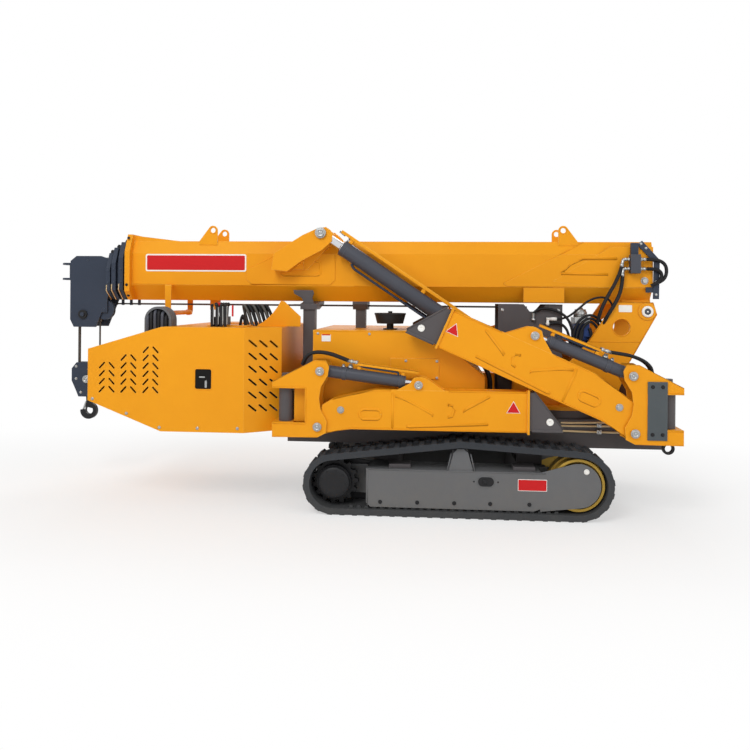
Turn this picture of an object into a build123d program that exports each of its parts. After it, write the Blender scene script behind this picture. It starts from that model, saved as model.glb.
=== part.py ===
# Small crawler crane with four folding outriggers, parked for travel: boom level, legs folded along the sides.
# Frame: +X is the direction of travel, +Y the far side, +Z up, origin on the ground under the middle of the box.
# All sizes are in millimetres. Most pieces are drawn for one side and mirrored.
import os
from math import acos, atan2, cos, degrees, hypot, pi, radians, sin

from build123d import *

# Overall places
HALF_LENGTH = 2350
TRACK_OUTER = 750
TRACK_WIDTH = 300
TRACK_MIDDLE = TRACK_OUTER - TRACK_WIDTH / 2
SEAT = 0.3
RUN = 0.05

# Tracks
SPROCKET_X = -15
SPROCKET_R = 212
IDLER_X = 1659
IDLER_R = 240
CARRIER_X = 866
CARRIER_TOP = 530
CARRIER_R = 60
BELT = 30
LUG = 17
LUG_COUNT = 54
SPROCKET_TEETH = 15
TOOTH = 24

# Track frame
FRAME_WALL = 10
FRAME_REAR = 215
FRAME_BOTTOM = 60
FRAME_TOP = 323
FRAME_OUTER = TRACK_OUTER - 20
FRAME_INNER = TRACK_MIDDLE - 130
FRAME_NOSE_R = 150
SPROCKET_BORE = 80
IDLER_BORE = 45

# Chassis
CHASSIS_HALF = TRACK_MIDDLE - 170
CHASSIS_BOTTOM = 440
CHASSIS_TOP = 640
CHASSIS_REAR = -400
CROSS_TUBE_X = (330, 1370)
CROSS_TUBE_W = 180
CROSS_TUBE_Z = (110, 300)
RAIL_Y = (CHASSIS_HALF - 180, CHASSIS_HALF - 110)
RAIL_END = -1268
RAIL_Z = (542, 640)

# Outriggers: u runs out from the swing axis along the folded leg, z is height
SWING_Y = TRACK_OUTER - 110
SWING_X = (-370, 2270)
SWING_PIN_R = 30
LUG_R = 48
BRACKET_TAIL = 80
BRACKET_TAIL_TOP = 915
BRACKET_Z = (525, 1065)
JAW_Z = (630, 868)
JAW_U = 150
BRACKET_HALF = 84
BRACKET_PLATE = 14
PIVOT_U = 240
PIVOT_Z = 603
BARREL_U = 255
BARREL_Z = 990
LEG_HALF = 65
LEG_WALL = 6
LEG_LENGTH = 1460
LEG_BOTTOM = -12
LEG_TOP = 262
FLANGE = 14
INNER_CLEAR = 6
INNER_START = 520
FOOT_U = LEG_LENGTH + 140
FOOT_Z = 60
FOOT_R = 26
PIVOT_R = 28
LEG_BARREL_R = 43
LEG_ROD_R = 22
LEG_TYPES = {
    # angle of the folded leg, and its ear's place along and above the leg
    "high": (23.5, 872, 330),
    "low": (0.0, 701, 300),
}
OUTRIGGERS = {
    # number: (swing axis at the front or rear, side, leg type)
    1: ("front", "near", "high"),
    2: ("front", "far", "high"),
    3: ("rear", "near", "low"),
    4: ("rear", "far", "low"),
}

# Superstructure on the chassis
COVER_WALL = 4
COVER_X = (-1809, -1269, -665, -430)
COVER_HALF = TRACK_OUTER - 70
COVER_END_HALF = TRACK_OUTER - 230
COVER_TOP = 1284
COVER_BOTTOM = 538
COVER_NOSE_Z = (751, 1122)
ENGINE = ((-1262, -560), (-260, 260), (640, 1080))
HOOD_X = (-200, 480, 846, 1038)
HOOD_Z = (640, 1268, 1102, 951)
HOOD_HALF = TRACK_OUTER - 230
REST_NEAR_X = (-327, -237)
REST_FAR_X = (56, 133)

# Slew ring, turret and winch
SLEW_X = 1650
RING_R = 400
RING_Z = (640, 700)
TURRET_FLOOR = 724
TURRET_PLATE_Y = (216, 236)
BOOM_PIVOT = (2241, 1419)
BOOM_PIN_R = 34
LIFT_BASE = (1311, 987)
LIFT_EAR = (-184, 1990)
LIFT_Y = 264
LIFT_BARREL_R = 60
LIFT_ROD_R = 34
LIFT_PIN_R = 30
WINCH_X = (1160, 1640)
WINCH_HALF = 160
WINCH_TOP = 1466
DRUM = (1330, 1160)
DRUM_R = 95
DRUM_FLANGE_R = 165

# Boom: section 1 is the base boom, 5 carries the head
BOOM_TOP = 1940
BOOM_BOTTOM = 1475
BOOM_HALF = 190
BOOM_WALL = 6
BEVEL = (42, 98)
STEP_TOP = 42
STEP_BOTTOM = 14
STEP_SIDE = 22
BOOM_FRONT = -1700
BOOM_REAR = 2294
COLLAR_X = {1: (-1740, -1700), 2: (-1806, -1770), 3: (-1874, -1840), 4: (-1926, -1896)}
HEAD_X = (-2243, -1990)
HEAD_Z = (1254, 1823)
HEAD_HALF = 116
HEAD_PLATE = 12
HEAD_AXLE = (-2135, 1355)
HEAD_SHEAVE_R = 92
REAR_SHEAVE = (-1966, 1392)
ROPE_R = 7
BLOCK_Z = (685, 963)
BLOCK_HALF_X = 128
BLOCK_HALF_Y = 46
HOOK_BOTTOM = 500
EAR_X = (-1062, 1641)
EAR_Y = 155
EAR_Z = 2025
EAR_BORE = 20
EAR_R = 36
EAR_FOOT = 108


def block(x, y, z):
    """A box from its low and high places along each axis."""
    size = [b - a for a, b in (x, y, z)]
    return Pos(*[(a + b) / 2 for a, b in (x, y, z)]) * Box(*size)


def side_face(points):
    """A flat outline from its corners, which may run either way round."""
    area = sum(a[0] * b[1] - b[0] * a[1] for a, b in zip(points, points[1:] + points[:1]))
    return Polygon(*(points if area > 0 else points[::-1]), align=None)


def along_y(face, y):
    """An outline in X and Z, drawn out from y[0] to y[1]."""
    return Pos(0, y[0], 0) * extrude(Plane.XZ * face, amount=-(y[1] - y[0]))


def prism(points, y):
    return along_y(side_face(points), y)


def rod_y(x, z, r, y):
    """A round bar across the machine."""
    return Pos(x, (y[0] + y[1]) / 2, z) * Rot(90, 0, 0) * Cylinder(r, y[1] - y[0])


def rod_z(x, y, r, z):
    return Pos(x, y, (z[0] + z[1]) / 2) * Cylinder(r, z[1] - z[0])


def disc(x, z, r):
    return Pos(x, z) * Circle(r)


def far(shape):
    return mirror(shape, about=Plane.XZ)


def both(shape):
    return Compound([shape, far(shape)])


def tangent_angle(a, b):
    """Direction, in radians, from circle a's centre to where its upper outer tangent towards circle b touches it."""
    (ax, az, ar), (bx, bz, br) = a, b
    distance = hypot(bx - ax, bz - az)
    return atan2(bz - az, bx - ax) + pi / 2 + atan2(br - ar, (distance ** 2 - (br - ar) ** 2) ** 0.5)


def tangent_point(point, centre, r, side):
    """Where the tangent from a point touches a circle, on the left (1) or right (-1) seen from the circle's centre."""
    dx, dz = point[0] - centre[0], point[1] - centre[1]
    t = atan2(dz, dx) + side * acos(r / hypot(dx, dz))
    return centre[0] + r * cos(t), centre[1] + r * sin(t)


def loop_path(offset):
    """The track's closed path, as (length, place at a distance along it), offset inwards from the lugs' tips."""
    circles = [
        (SPROCKET_X, SPROCKET_R, SPROCKET_R),
        (CARRIER_X, CARRIER_TOP - CARRIER_R, CARRIER_R),
        (IDLER_X, IDLER_R, IDLER_R),
    ]
    up_1 = tangent_angle(circles[0], circles[1])
    up_2 = tangent_angle(circles[1], circles[2])
    bottom = -pi / 2
    turns = [(bottom, up_1 - 2 * pi), (up_1, up_2), (up_2, bottom)]
    pieces = []
    for (x, z, r), (start, end) in zip(circles, turns):
        pieces.append(("arc", (x, z), r - offset, start, end))
    ends = []
    for kind, (x, z), r, start, end in pieces:
        ends.append([(x + r * cos(t), z + r * sin(t)) for t in (start, end)])
    path = []
    for i, piece in enumerate(pieces):
        path.append(piece)
        path.append(("line", ends[i][1], ends[(i + 1) % 3][0]))
    return path


def loop_face(offset):
    """The face inside the track's path, with its round ends as arcs."""
    path = loop_path(offset)
    arcs = path[0::2]
    corners = [place for line in path[1::2] for place in line[1:]]
    face = side_face(corners)
    for kind, (x, z), r, start, end in arcs:
        face += disc(x, z, r)
    return face


def walk(path):
    """Points and outward normals at a place along the path, and the path's length."""
    lengths = []
    for piece in path:
        if piece[0] == "arc":
            lengths.append(abs(piece[4] - piece[3]) * piece[2])
        else:
            (ax, az), (bx, bz) = piece[1:]
            lengths.append(hypot(bx - ax, bz - az))

    def at(s):
        for piece, length in zip(path, lengths):
            if s <= length:
                break
            s -= length
        share = min(s / length, 1)
        if piece[0] == "arc":
            kind, (x, z), r, start, end = piece
            t = start + (end - start) * share
            return x + r * cos(t), z + r * sin(t), cos(t), sin(t)
        (ax, az), (bx, bz) = piece[1:]
        return ax + (bx - ax) * share, az + (bz - az) * share, -(bz - az) / length, (bx - ax) / length

    return at, sum(lengths)


def track_band(y, phase):
    """One half of the track's width, with its lugs in the outline."""
    at, length = walk(loop_path(LUG))
    pitch = length / LUG_COUNT
    outline = []
    # along one pitch: share of the pitch and height of the outline there
    lug_shape = ((0.0, 0.0), (0.46, 0.0), (0.54, 1.0), (0.92, 1.0))
    for i in range(LUG_COUNT):
        for share, height in lug_shape:
            x, z, nx, nz = at(((i + share + phase) * pitch) % length)
            outline.append((x + nx * height * LUG, max(z + nz * height * LUG, 0)))
    return along_y(side_face(outline) - loop_face(LUG + BELT), y)


def track():
    inner = TRACK_OUTER - TRACK_WIDTH
    middle = (TRACK_OUTER + inner) / 2
    return track_band((inner, middle), 0) + track_band((middle, TRACK_OUTER), 0.5)


def sprocket():
    """Toothed rim round the drive hub."""
    tip = SPROCKET_R - LUG - BELT - 2 * SEAT
    rim = Circle(tip - TOOTH)
    pitch = 2 * pi / SPROCKET_TEETH
    for i in range(SPROCKET_TEETH):
        points = []
        for share, r in ((-0.34, tip - TOOTH - 4), (-0.16, tip), (0.16, tip), (0.34, tip - TOOTH - 4)):
            t = (i + share) * pitch
            points.append((r * cos(t), r * sin(t)))
        rim += side_face(points)
    rim -= Circle(SPROCKET_BORE + SEAT)
    y = TRACK_MIDDLE
    body = along_y(Pos(SPROCKET_X, SPROCKET_R) * rim, (y - 10, y + 30))
    cap = rod_y(SPROCKET_X, SPROCKET_R, 118, (y + 30, y + 90)) - rod_y(SPROCKET_X, SPROCKET_R, 62, (y + 60, y + 91))
    return body + cap


def idler():
    """Front wheel with its raised rim ring."""
    r = IDLER_R - LUG - BELT - SEAT
    y = TRACK_MIDDLE
    wheel = rod_y(IDLER_X, IDLER_R, r, (y - 40, y + 40))
    wheel += rod_y(IDLER_X, IDLER_R, r - 14, (y + 39, FRAME_OUTER - FRAME_WALL - 6))
    wheel -= rod_y(IDLER_X, IDLER_R, r - 32, (y + 40, FRAME_OUTER))
    return wheel - rod_y(IDLER_X, IDLER_R, IDLER_BORE + SEAT, (y - 50, y + 100))


def track_frame():
    """Hollow side beam with its drive hub, idler fork, bottom rollers and middle support."""
    outline = side_face([
        (FRAME_REAR, FRAME_BOTTOM + 30), (FRAME_REAR + 30, FRAME_BOTTOM), (IDLER_X - 300, FRAME_BOTTOM),
        (IDLER_X - 190, FRAME_BOTTOM + 40), (IDLER_X - 190, FRAME_TOP), (FRAME_REAR, FRAME_TOP),
    ])
    beam_end = IDLER_X - IDLER_R - 10
    beam = along_y(outline, (FRAME_INNER, FRAME_OUTER))
    core = block((FRAME_REAR + FRAME_WALL, beam_end), (FRAME_INNER + FRAME_WALL, FRAME_OUTER - FRAME_WALL),
                 (FRAME_BOTTOM + FRAME_WALL, FRAME_TOP - FRAME_WALL))
    fork = block((beam_end, IDLER_X + 200), (TRACK_MIDDLE - 55, FRAME_OUTER + 5), (0, 480))
    beam = beam - core - fork
    plate_y = (FRAME_OUTER - FRAME_WALL, FRAME_OUTER)
    axle = (IDLER_X, IDLER_R)
    low, high = (beam_end - 5, FRAME_BOTTOM), (beam_end - 5, FRAME_TOP)
    nose = side_face([low, tangent_point(low, axle, FRAME_NOSE_R, 1), tangent_point(high, axle, FRAME_NOSE_R, -1), high])
    beam += along_y(nose + disc(*axle, FRAME_NOSE_R), plate_y)
    inner = (FRAME_INNER, TRACK_MIDDLE - 55)
    arm = side_face([low, (IDLER_X, IDLER_R - 80), (IDLER_X, IDLER_R + 80), high])
    beam += along_y(arm + disc(*axle, 80), (inner[1] - 12, inner[1]))
    beam += rod_y(*axle, IDLER_BORE, (inner[1] - 5, FRAME_OUTER - 5))
    arm = [(SPROCKET_X, SPROCKET_R - 95), (FRAME_REAR + 5, 100), (FRAME_REAR + 5, 310),
           (SPROCKET_X, SPROCKET_R + 95)]
    beam += along_y(side_face(arm) + disc(SPROCKET_X, SPROCKET_R, 95), (FRAME_INNER, FRAME_INNER + 60))
    beam += rod_y(SPROCKET_X, SPROCKET_R, SPROCKET_BORE, (FRAME_INNER + 50, TRACK_MIDDLE + 28))
    belt_top = LUG + BELT + SEAT
    for i in range(6):
        x = FRAME_REAR + 110 + i * 208
        beam += rod_y(x, belt_top + 40, 40, (TRACK_MIDDLE - 80, TRACK_MIDDLE + 80))
    top = CARRIER_TOP - LUG - BELT - SEAT
    support = side_face([(CARRIER_X - 85, FRAME_TOP - 5), (CARRIER_X + 85, FRAME_TOP - 5),
                         (CARRIER_X + 50, top - 40), (CARRIER_X + 22, top - 12), (CARRIER_X - 22, top - 12),
                         (CARRIER_X - 50, top - 40)])
    beam += along_y(support, (TRACK_MIDDLE - 60, FRAME_OUTER - FRAME_WALL))
    beam += rod_y(CARRIER_X, top - 22, 22, (TRACK_MIDDLE - 60, TRACK_MIDDLE + 100))
    return beam


def chassis():
    """Central box, cross tubes, engine rails and the end beams that carry the swing posts."""
    front = SWING_X[1] + LUG_R
    body = block((CHASSIS_REAR, front), (-CHASSIS_HALF, CHASSIS_HALF), (CHASSIS_BOTTOM, CHASSIS_TOP))
    body -= block((CHASSIS_REAR - 5, front + 5), (-CHASSIS_HALF + 12, CHASSIS_HALF - 12),
                  (CHASSIS_BOTTOM + 12, CHASSIS_TOP - 12))
    for x in CROSS_TUBE_X:
        span = (x - CROSS_TUBE_W / 2, x + CROSS_TUBE_W / 2)
        inner = (span[0] + 12, span[1] - 12)
        body += block(span, (-FRAME_INNER, FRAME_INNER), CROSS_TUBE_Z) - block(
            inner, (-FRAME_INNER, FRAME_INNER), (CROSS_TUBE_Z[0] + 12, CROSS_TUBE_Z[1] - 12))
        for y in (30 - CHASSIS_HALF, CHASSIS_HALF - 50):
            body += block(span, (y, y + 20), (CROSS_TUBE_Z[1] - 2, CHASSIS_BOTTOM + 2))
    for side in (-1, 1):
        y = sorted((side * RAIL_Y[0], side * RAIL_Y[1]))
        rail = block((RAIL_END, CHASSIS_REAR + 20), y, RAIL_Z)
        rail -= block((RAIL_END - 5, CHASSIS_REAR + 25), (y[0] + 8, y[1] - 8), (RAIL_Z[0] + 8, RAIL_Z[1] - 8))
        body += rail
    for x in SWING_X:
        beam_z = (JAW_Z[0] + 5.5, JAW_Z[1] - 25)
        reach = SWING_Y
        body += block((x - 42, x + 42), (-reach, reach), beam_z) - block(
            (x - 32, x + 32), (-reach + 60, reach - 60), (beam_z[0] + 10, beam_z[1] - 10))
        for y in (-SWING_Y, SWING_Y):
            body += rod_z(x, y, LUG_R, (JAW_Z[0] + SEAT, JAW_Z[1] - SEAT))
            body += rod_z(x, y, SWING_PIN_R, (BRACKET_Z[0] + 6, BRACKET_TAIL_TOP + 52))
    return body


def cover_shell(inset):
    """The engine cover's outer form, or the form inset by its wall."""
    x0, x1, x2, x3 = COVER_X
    low, high = COVER_NOSE_Z
    side = side_face([(x0 + inset, low + inset / 2), (x0 + inset, high - inset / 2), (x1, COVER_TOP - inset),
                      (x3 + 1 if inset else x3, COVER_TOP - inset), (x3 + 1 if inset else x3, COVER_BOTTOM + inset),
                      (x1, COVER_BOTTOM + inset)])
    solid = along_y(side, (-COVER_HALF, COVER_HALF))
    a = COVER_HALF - inset
    b = COVER_END_HALF - inset
    plan = side_face([(x0 - 1, -a), (x2, -a), (x3 + 2, -b), (x3 + 2, b), (x2, a), (x0 - 1, a)])
    return solid & (Pos(0, 0, COVER_BOTTOM - 10) * extrude(plan, amount=COVER_TOP - COVER_BOTTOM + 20))


def engine_cover():
    """Folded sheet cover with louvres on both sides, open below for the rails."""
    x0, x1, x2, x3 = COVER_X
    shell = cover_shell(0) - cover_shell(COVER_WALL)
    wall = block((x3 - COVER_WALL, x3), (-COVER_END_HALF, COVER_END_HALF), (700, COVER_TOP))
    shell += wall
    shell -= block((x1 + 60, x3 + 5), (-420, 420), (COVER_BOTTOM - 20, COVER_BOTTOM + 120))
    cuts = []
    # columns of chevron louvres: X of the middle, number of rows
    for column, rows in ((-1668, 4), (-1508, 5), (-1345, 6)):
        for row in range(rows):
            z = 832 + row * 57.4
            for side in (-1, 1):
                slot = Pos(column + side * 36, z) * Rot(0, 0, -side * 47) * SlotOverall(62, 13)
                cuts.append(along_y(slot, (-COVER_HALF - 10, COVER_HALF + 10)))
    shell -= Compound(cuts)
    for column in range(3):
        for row in range(6):
            x = -612 + column * 66
            z = 712 + row * 92 - column * 4
            slot = Pos(x, z) * Rot(0, 0, -45) * SlotOverall(72, 13)
            shell -= along_y(slot, (-COVER_HALF - 10, COVER_HALF + 10))
    hatch = Pos(-959, 916) * RectangleRounded(118, 142, 12)
    return shell - along_y(hatch, (-COVER_HALF - 10, COVER_HALF + 10))


def hood():
    """Cover over tank and pumps, with its sloping end and raised access panels."""
    x0, x1, x2, x3 = HOOD_X
    z0, z1, z2, z3 = HOOD_Z
    outline = [(x0, z0), (x0, z1), (x1, z1), (x2, z2), (x3, z3), (x3, z0)]
    wall = COVER_WALL
    inner = [(x0 + wall, z0 - 1), (x0 + wall, z1 - wall), (x1 - 1, z1 - wall), (x2 - 3, z2 - wall),
             (x3 - wall, z3 - 3), (x3 - wall, z0 - 1)]
    body = prism(outline, (-HOOD_HALF, HOOD_HALF)) - prism(inner, (-HOOD_HALF + wall, HOOD_HALF - wall))
    panel = block((365, 712), (HOOD_HALF - 1, HOOD_HALF + 8), (925, 1072))
    return body + panel + far(panel)


def boom_rests():
    """Two posts with cross heads under the boom."""
    top = BOOM_BOTTOM - SEAT
    posts = []
    for x, z0, y in ((REST_NEAR_X, CHASSIS_TOP, 190), (REST_FAR_X, HOOD_Z[1], 0)):
        post = block((x[0], x[1]), (-45, 45), (z0, top - 60))
        post -= block((x[0] + 8, x[1] - 8), (-37, 37), (z0 - 1, top - 70))
        post = Pos(0, -y, 0) * post
        middle = (x[0] + x[1]) / 2
        head = side_face([(-y - 60, top - 62), (-y + 60, top - 62), (95, top - 20), (95, top), (-95, top),
                          (-max(y + 60, 95), top - 20)])
        head = Pos(x[0] - 20, 0, 0) * extrude(Plane.YZ * head, amount=x[1] - x[0] + 40)
        posts.append(post + head)
    return Compound(posts)


def air_cleaner():
    """Bowl filter on its stem."""
    x = 345
    y = -300
    base = HOOD_Z[1]
    stem = rod_z(x, y, 26, (base, base + 48))
    skirt = rod_z(x, y, 52, (base, base + 10))
    bowl = Pos(x, y, base + 79) * Cone(98, 115, 66)
    lid = rod_z(x, y, 118, (base + 112, base + 124)) + rod_z(x, y, 16, (base + 124, base + 138))
    return stem + skirt + bowl + lid


def valve_bank():
    """Row of control valves on its stand, with the levers."""
    top = COVER_TOP
    y0, y1 = -520, -280
    bank = block((-960, -880), (y0, y1), (top, top + 70))
    levers = bank
    for i in range(6):
        y = y0 + 25 + i * 38
        lever = Pos(-915 + 4 * i, y, top + 110) * Rot(0, -12 + 3 * i, 0) * Cylinder(6, 110)
        knob = Pos(-915 + 4 * i - 11 + 2.9 * i, y, top + 163) * Sphere(13)
        levers += lever
        levers += knob
    return levers


def hose_guard():
    """Ribbed arch over the hoses that leave the cover's sloping roof."""
    x, z, r = -1342, 1328, 95
    y = (-560, -440)
    roof = cover_shell(0)
    arch = disc(x, z, r) + Pos(x, z - 80) * Rectangle(2 * r, 160)
    hollow = disc(x, z, r - 12) + Pos(x, z - 80) * Rectangle(2 * r - 24, 161)
    guard = along_y(arch, y) - along_y(hollow, (y[0] - 1, y[1] - 8))
    rib = disc(x, z, r + 5) + Pos(x, z - 80) * Rectangle(2 * r + 10, 160) - disc(x, z, r - 2)
    for i in range(5):
        start = y[0] + i * 26
        guard += along_y(rib - Pos(x, z - 81) * Rectangle(2 * r - 4, 162), (start, start + 12))
    return guard - roof


def slew_ring():
    """Outer race bolted to the chassis."""
    ring = rod_z(SLEW_X, 0, RING_R, RING_Z) - rod_z(SLEW_X, 0, RING_R - 90, (RING_Z[0] - 1, RING_Z[1] + 1))
    return ring


def turret():
    """Slewing floor with the two side plates, the boom's pin and the lift cylinders' lugs."""
    floor_z = (RING_Z[1] + SEAT, TURRET_FLOOR)
    body = rod_z(SLEW_X, 0, RING_R + 6, floor_z)
    body += block((LIFT_BASE[0] - 65, SLEW_X), (-318, 318), (floor_z[0], TURRET_FLOOR))
    plate = side_face([(1560, TURRET_FLOOR - 4), (2000, TURRET_FLOOR - 4), (2121, 1046), (2315, 1396),
                       (2288, 1486), (2012, 1486), (1818, 1190), (1560, 900)])
    plate = plate - disc(2058, 1300, 62)
    side = along_y(plate, TURRET_PLATE_Y)
    lug = side_face([(LIFT_BASE[0] - 62, TURRET_FLOOR - 4), (1600, TURRET_FLOOR - 4), (1560, 900),
                     (LIFT_BASE[0] + 30, LIFT_BASE[1] + 42), (LIFT_BASE[0] - 40, LIFT_BASE[1] + 30)])
    lug = fillet(lug.vertices().sort_by(Axis.Y)[-2:], 25)
    for y in ((LIFT_Y - 46, LIFT_Y - 32), (LIFT_Y + 32, LIFT_Y + 46)):
        side += along_y(lug, y)
    side += rod_y(LIFT_BASE[0], LIFT_BASE[1], LIFT_PIN_R, (LIFT_Y - 52, LIFT_Y + 52))
    side += rod_y(*BOOM_PIVOT, 62, (TURRET_PLATE_Y[1] - 1, TURRET_PLATE_Y[1] + 10))
    body += side
    body += far(side)
    body += rod_y(*BOOM_PIVOT, BOOM_PIN_R, (-TURRET_PLATE_Y[1] - 16, TURRET_PLATE_Y[1] + 16))
    inner = TURRET_PLATE_Y[0] + 2
    body += block((1880, 1900), (-inner, inner), (TURRET_FLOOR - 4, 1230))
    body += block((1640, 1990), (-inner, inner), (TURRET_FLOOR - 4, TURRET_FLOOR + 60))
    return body


def slew_drive():
    """Upright motor on the turret's floor."""
    x, y = 1780, -120
    body = rod_z(x, y, 78, (TURRET_FLOOR + 60, 960)) + rod_z(x, y, 62, (960, 1200))
    body += rod_z(x, y, 70, (1200, 1226))
    body += block((x - 55, x + 55), (y - 75, y + 75), (1226, 1330))
    return body


def winch_frame():
    """Two cheek plates with a notched top and a front plate."""
    x0, x1 = WINCH_X
    notch = [(x0, TURRET_FLOOR), (x1, TURRET_FLOOR), (x1, WINCH_TOP), (1520, WINCH_TOP), (1470, WINCH_TOP - 60),
             (1400, WINCH_TOP - 60), (1350, WINCH_TOP), (x0, WINCH_TOP)]
    cheek = prism(notch, (WINCH_HALF - 12, WINCH_HALF)) - rod_y(*DRUM, 40 + RUN, (100, 200))
    frame = cheek + far(cheek)
    frame += block((x1 - 12, x1), (-WINCH_HALF + 2, WINCH_HALF - 2), (TURRET_FLOOR, 1250))
    return frame


def winch_drum():
    """Drum with its flanges, turned by the motor in its end."""
    inner = WINCH_HALF - 12 - 6
    drum = rod_y(*DRUM, DRUM_R, (-inner, inner)) + rod_y(*DRUM, 40, (-WINCH_HALF - 20, WINCH_HALF + 20))
    for y in (-inner, inner - 12):
        drum += rod_y(*DRUM, DRUM_FLANGE_R, (y, y + 12))
    layers = int((2 * inner - 40) / 40)
    for i in range(layers):
        y = -inner + 20 + i * 40
        drum += rod_y(*DRUM, DRUM_R + 22, (y, y + 30))
    return drum


def boom_profile(section, inset=0.0):
    """Six-sided outline in Y and Z of one boom section, or of its bore."""
    step = section - 1
    top = BOOM_TOP - STEP_TOP * step - inset
    bottom = BOOM_BOTTOM + STEP_BOTTOM * step + inset
    half = BOOM_HALF - STEP_SIDE * step - inset
    across, down = BEVEL[0] - 0.34 * inset, BEVEL[1] - 0.795 * inset
    knee = bottom + 118 - 18 * step
    foot = half * 0.5
    right = [(foot, bottom), (half, knee), (half, top - down), (half - across, top)]
    left = [(-y, z) for y, z in reversed(right)]
    return side_face(right + left)


def boom_bar(section, x, inset=0.0):
    return Pos(x[0], 0, 0) * extrude(Plane.YZ * boom_profile(section, inset), amount=x[1] - x[0])


def collar(section, grow):
    x = COLLAR_X[section]
    return boom_bar(section, x, -grow) - boom_bar(section, (x[0] - 1, x[1] + 1), 1)


def base_boom():
    """Base boom with its collar, ears, doublers and tail."""
    body = boom_bar(1, (BOOM_FRONT, BOOM_REAR)) - boom_bar(1, (BOOM_FRONT - 1, BOOM_REAR - 12), BOOM_WALL)
    top = BOOM_TOP
    flare = prism([(BOOM_FRONT, top - 20), (-1330, top - 2), (-1330, top), (BOOM_FRONT, top + 44)], (-146, 146))
    body += flare - boom_bar(1, (BOOM_FRONT - 1, -1300), BOOM_WALL)
    body += collar(1, 50) & block((-3000, 3000), (-300, 300), (BOOM_BOTTOM, 2100))
    for x, slope in zip(EAR_X, (-1, 1)):
        foot, r = (x + slope * EAR_FOOT, top), EAR_R
        ear = side_face([(foot[0], top - 60), foot, tangent_point(foot, (x, EAR_Z), r, slope), (x - slope * r, EAR_Z),
                         (x - slope * r, top - 60)]) + disc(x, EAR_Z, r) - disc(x, EAR_Z, EAR_BORE)
        plate = along_y(ear, (EAR_Y - 6, EAR_Y + 6)) - boom_bar(1, (BOOM_FRONT, BOOM_REAR), 1)
        body += plate
        body += far(plate)
    x, z = LIFT_EAR
    outer = LIFT_Y + 39
    lower = BOOM_TOP - BEVEL[1] - 2
    doubler = side_face([(-779, 1640), (-744, 1605), (-128, 1605), (-93, 1640), (-93, lower), (-532, lower), (-779, 1712)])
    side = along_y(doubler, (BOOM_HALF - 1, BOOM_HALF + 6))
    crown = [(-322, 1975), (x - 31, z + 33), (x + 41, z + 46), (x + 90, z - 2), (x + 83, z - 62), (x + 13, z - 126)]
    ear = side_face([(-560, 1712), (-541, 1836)] + crown + [(-300, 1720)])
    side += along_y(ear, (BOOM_HALF - 50, LIFT_Y - 34)) - boom_bar(1, (BOOM_FRONT, BOOM_REAR), 1)
    side -= along_y(side_face([(-330, 1640), (100, 1640), (100, 2200), (-290, 2200), (-330, 2040)]),
                    (LIFT_Y - 56, LIFT_Y + 100))
    cheek = side_face([(-560, 1712), (-541, 1836)] + crown + [(-330, 1780), (-440, 1700)])
    side += along_y(cheek, (outer, outer + 12))
    web = side_face([(-560, 1712), (-440, 1700), (-330, 1780), (-330, 1971), (-541, 1836)])
    side += along_y(web, (BOOM_HALF - 50, outer + 1)) - boom_bar(1, (BOOM_FRONT, BOOM_REAR), 1)
    side += rod_y(x, z, 26, (outer + 10, outer + 22))
    body += side
    body += far(side)
    tail = side_face([(1560, 1640), (1990, 1900), (BOOM_REAR, 1900), (BOOM_REAR, 1600), (1900, 1595)])
    tail_plate = along_y(tail, (BOOM_HALF - 1, BOOM_HALF + 6))
    body += tail_plate
    body += far(tail_plate)
    foot = side_face([(2090, BOOM_BOTTOM + 8), (2160, 1400), (BOOM_PIVOT[0], BOOM_PIVOT[1] - 70),
                      (BOOM_REAR + 14, 1400), (BOOM_REAR, BOOM_BOTTOM + 60), (2090, BOOM_BOTTOM + 60)])
    foot = foot + disc(*BOOM_PIVOT, 70) - disc(*BOOM_PIVOT, BOOM_PIN_R + RUN)
    for y in ((88, 118), (-118, -88)):
        lug = along_y(foot, y) - boom_bar(1, (BOOM_FRONT, BOOM_REAR - 12), BOOM_WALL)
        body += lug
    boss = rod_y(*BOOM_PIVOT, 58, (88, TURRET_PLATE_Y[0] - 5)) - rod_y(*BOOM_PIVOT, BOOM_PIN_R + RUN, (80, 230))
    body += boss
    body += far(boss)
    return body


def inner_section(section):
    """A telescopic section with its collar, and the slide pads that carry it."""
    x = (COLLAR_X[section][0], BOOM_REAR - 40 - 40 * section)
    body = boom_bar(section, x) - boom_bar(section, (x[0] - 1, x[1] + 1), BOOM_WALL)
    ring = collar(section, 34) & block((-3000, 3000), (-300, 300), (BOOM_BOTTOM, 2100))
    return body + ring + slide_pads(section)


def slide_pads(section):
    """Pads on the rear of a section that slide in the one round it."""
    end = BOOM_REAR - 40 - 40 * section
    step = section - 1
    top = BOOM_TOP - STEP_TOP * step
    bottom = BOOM_BOTTOM + STEP_BOTTOM * step
    half = BOOM_HALF - STEP_SIDE * step
    above = STEP_TOP - BOOM_WALL - SEAT
    below = STEP_BOTTOM - BOOM_WALL - SEAT
    beside = STEP_SIDE - BOOM_WALL - SEAT
    pads = block((end - 160, end - 20), (-40, 40), (top - 1, top + above))
    pads += block((end - 160, end - 20), (-30, 30), (bottom - below, bottom + 1))
    side = block((end - 160, end - 20), (half - 1, half + beside), (top - 170, top - 110))
    pads += side
    pads += far(side)
    front = COLLAR_X[section - 1][1] + 20
    pads += block((front, front + 90), (-30, 30), (bottom - below, bottom + 1))
    return pads


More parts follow.
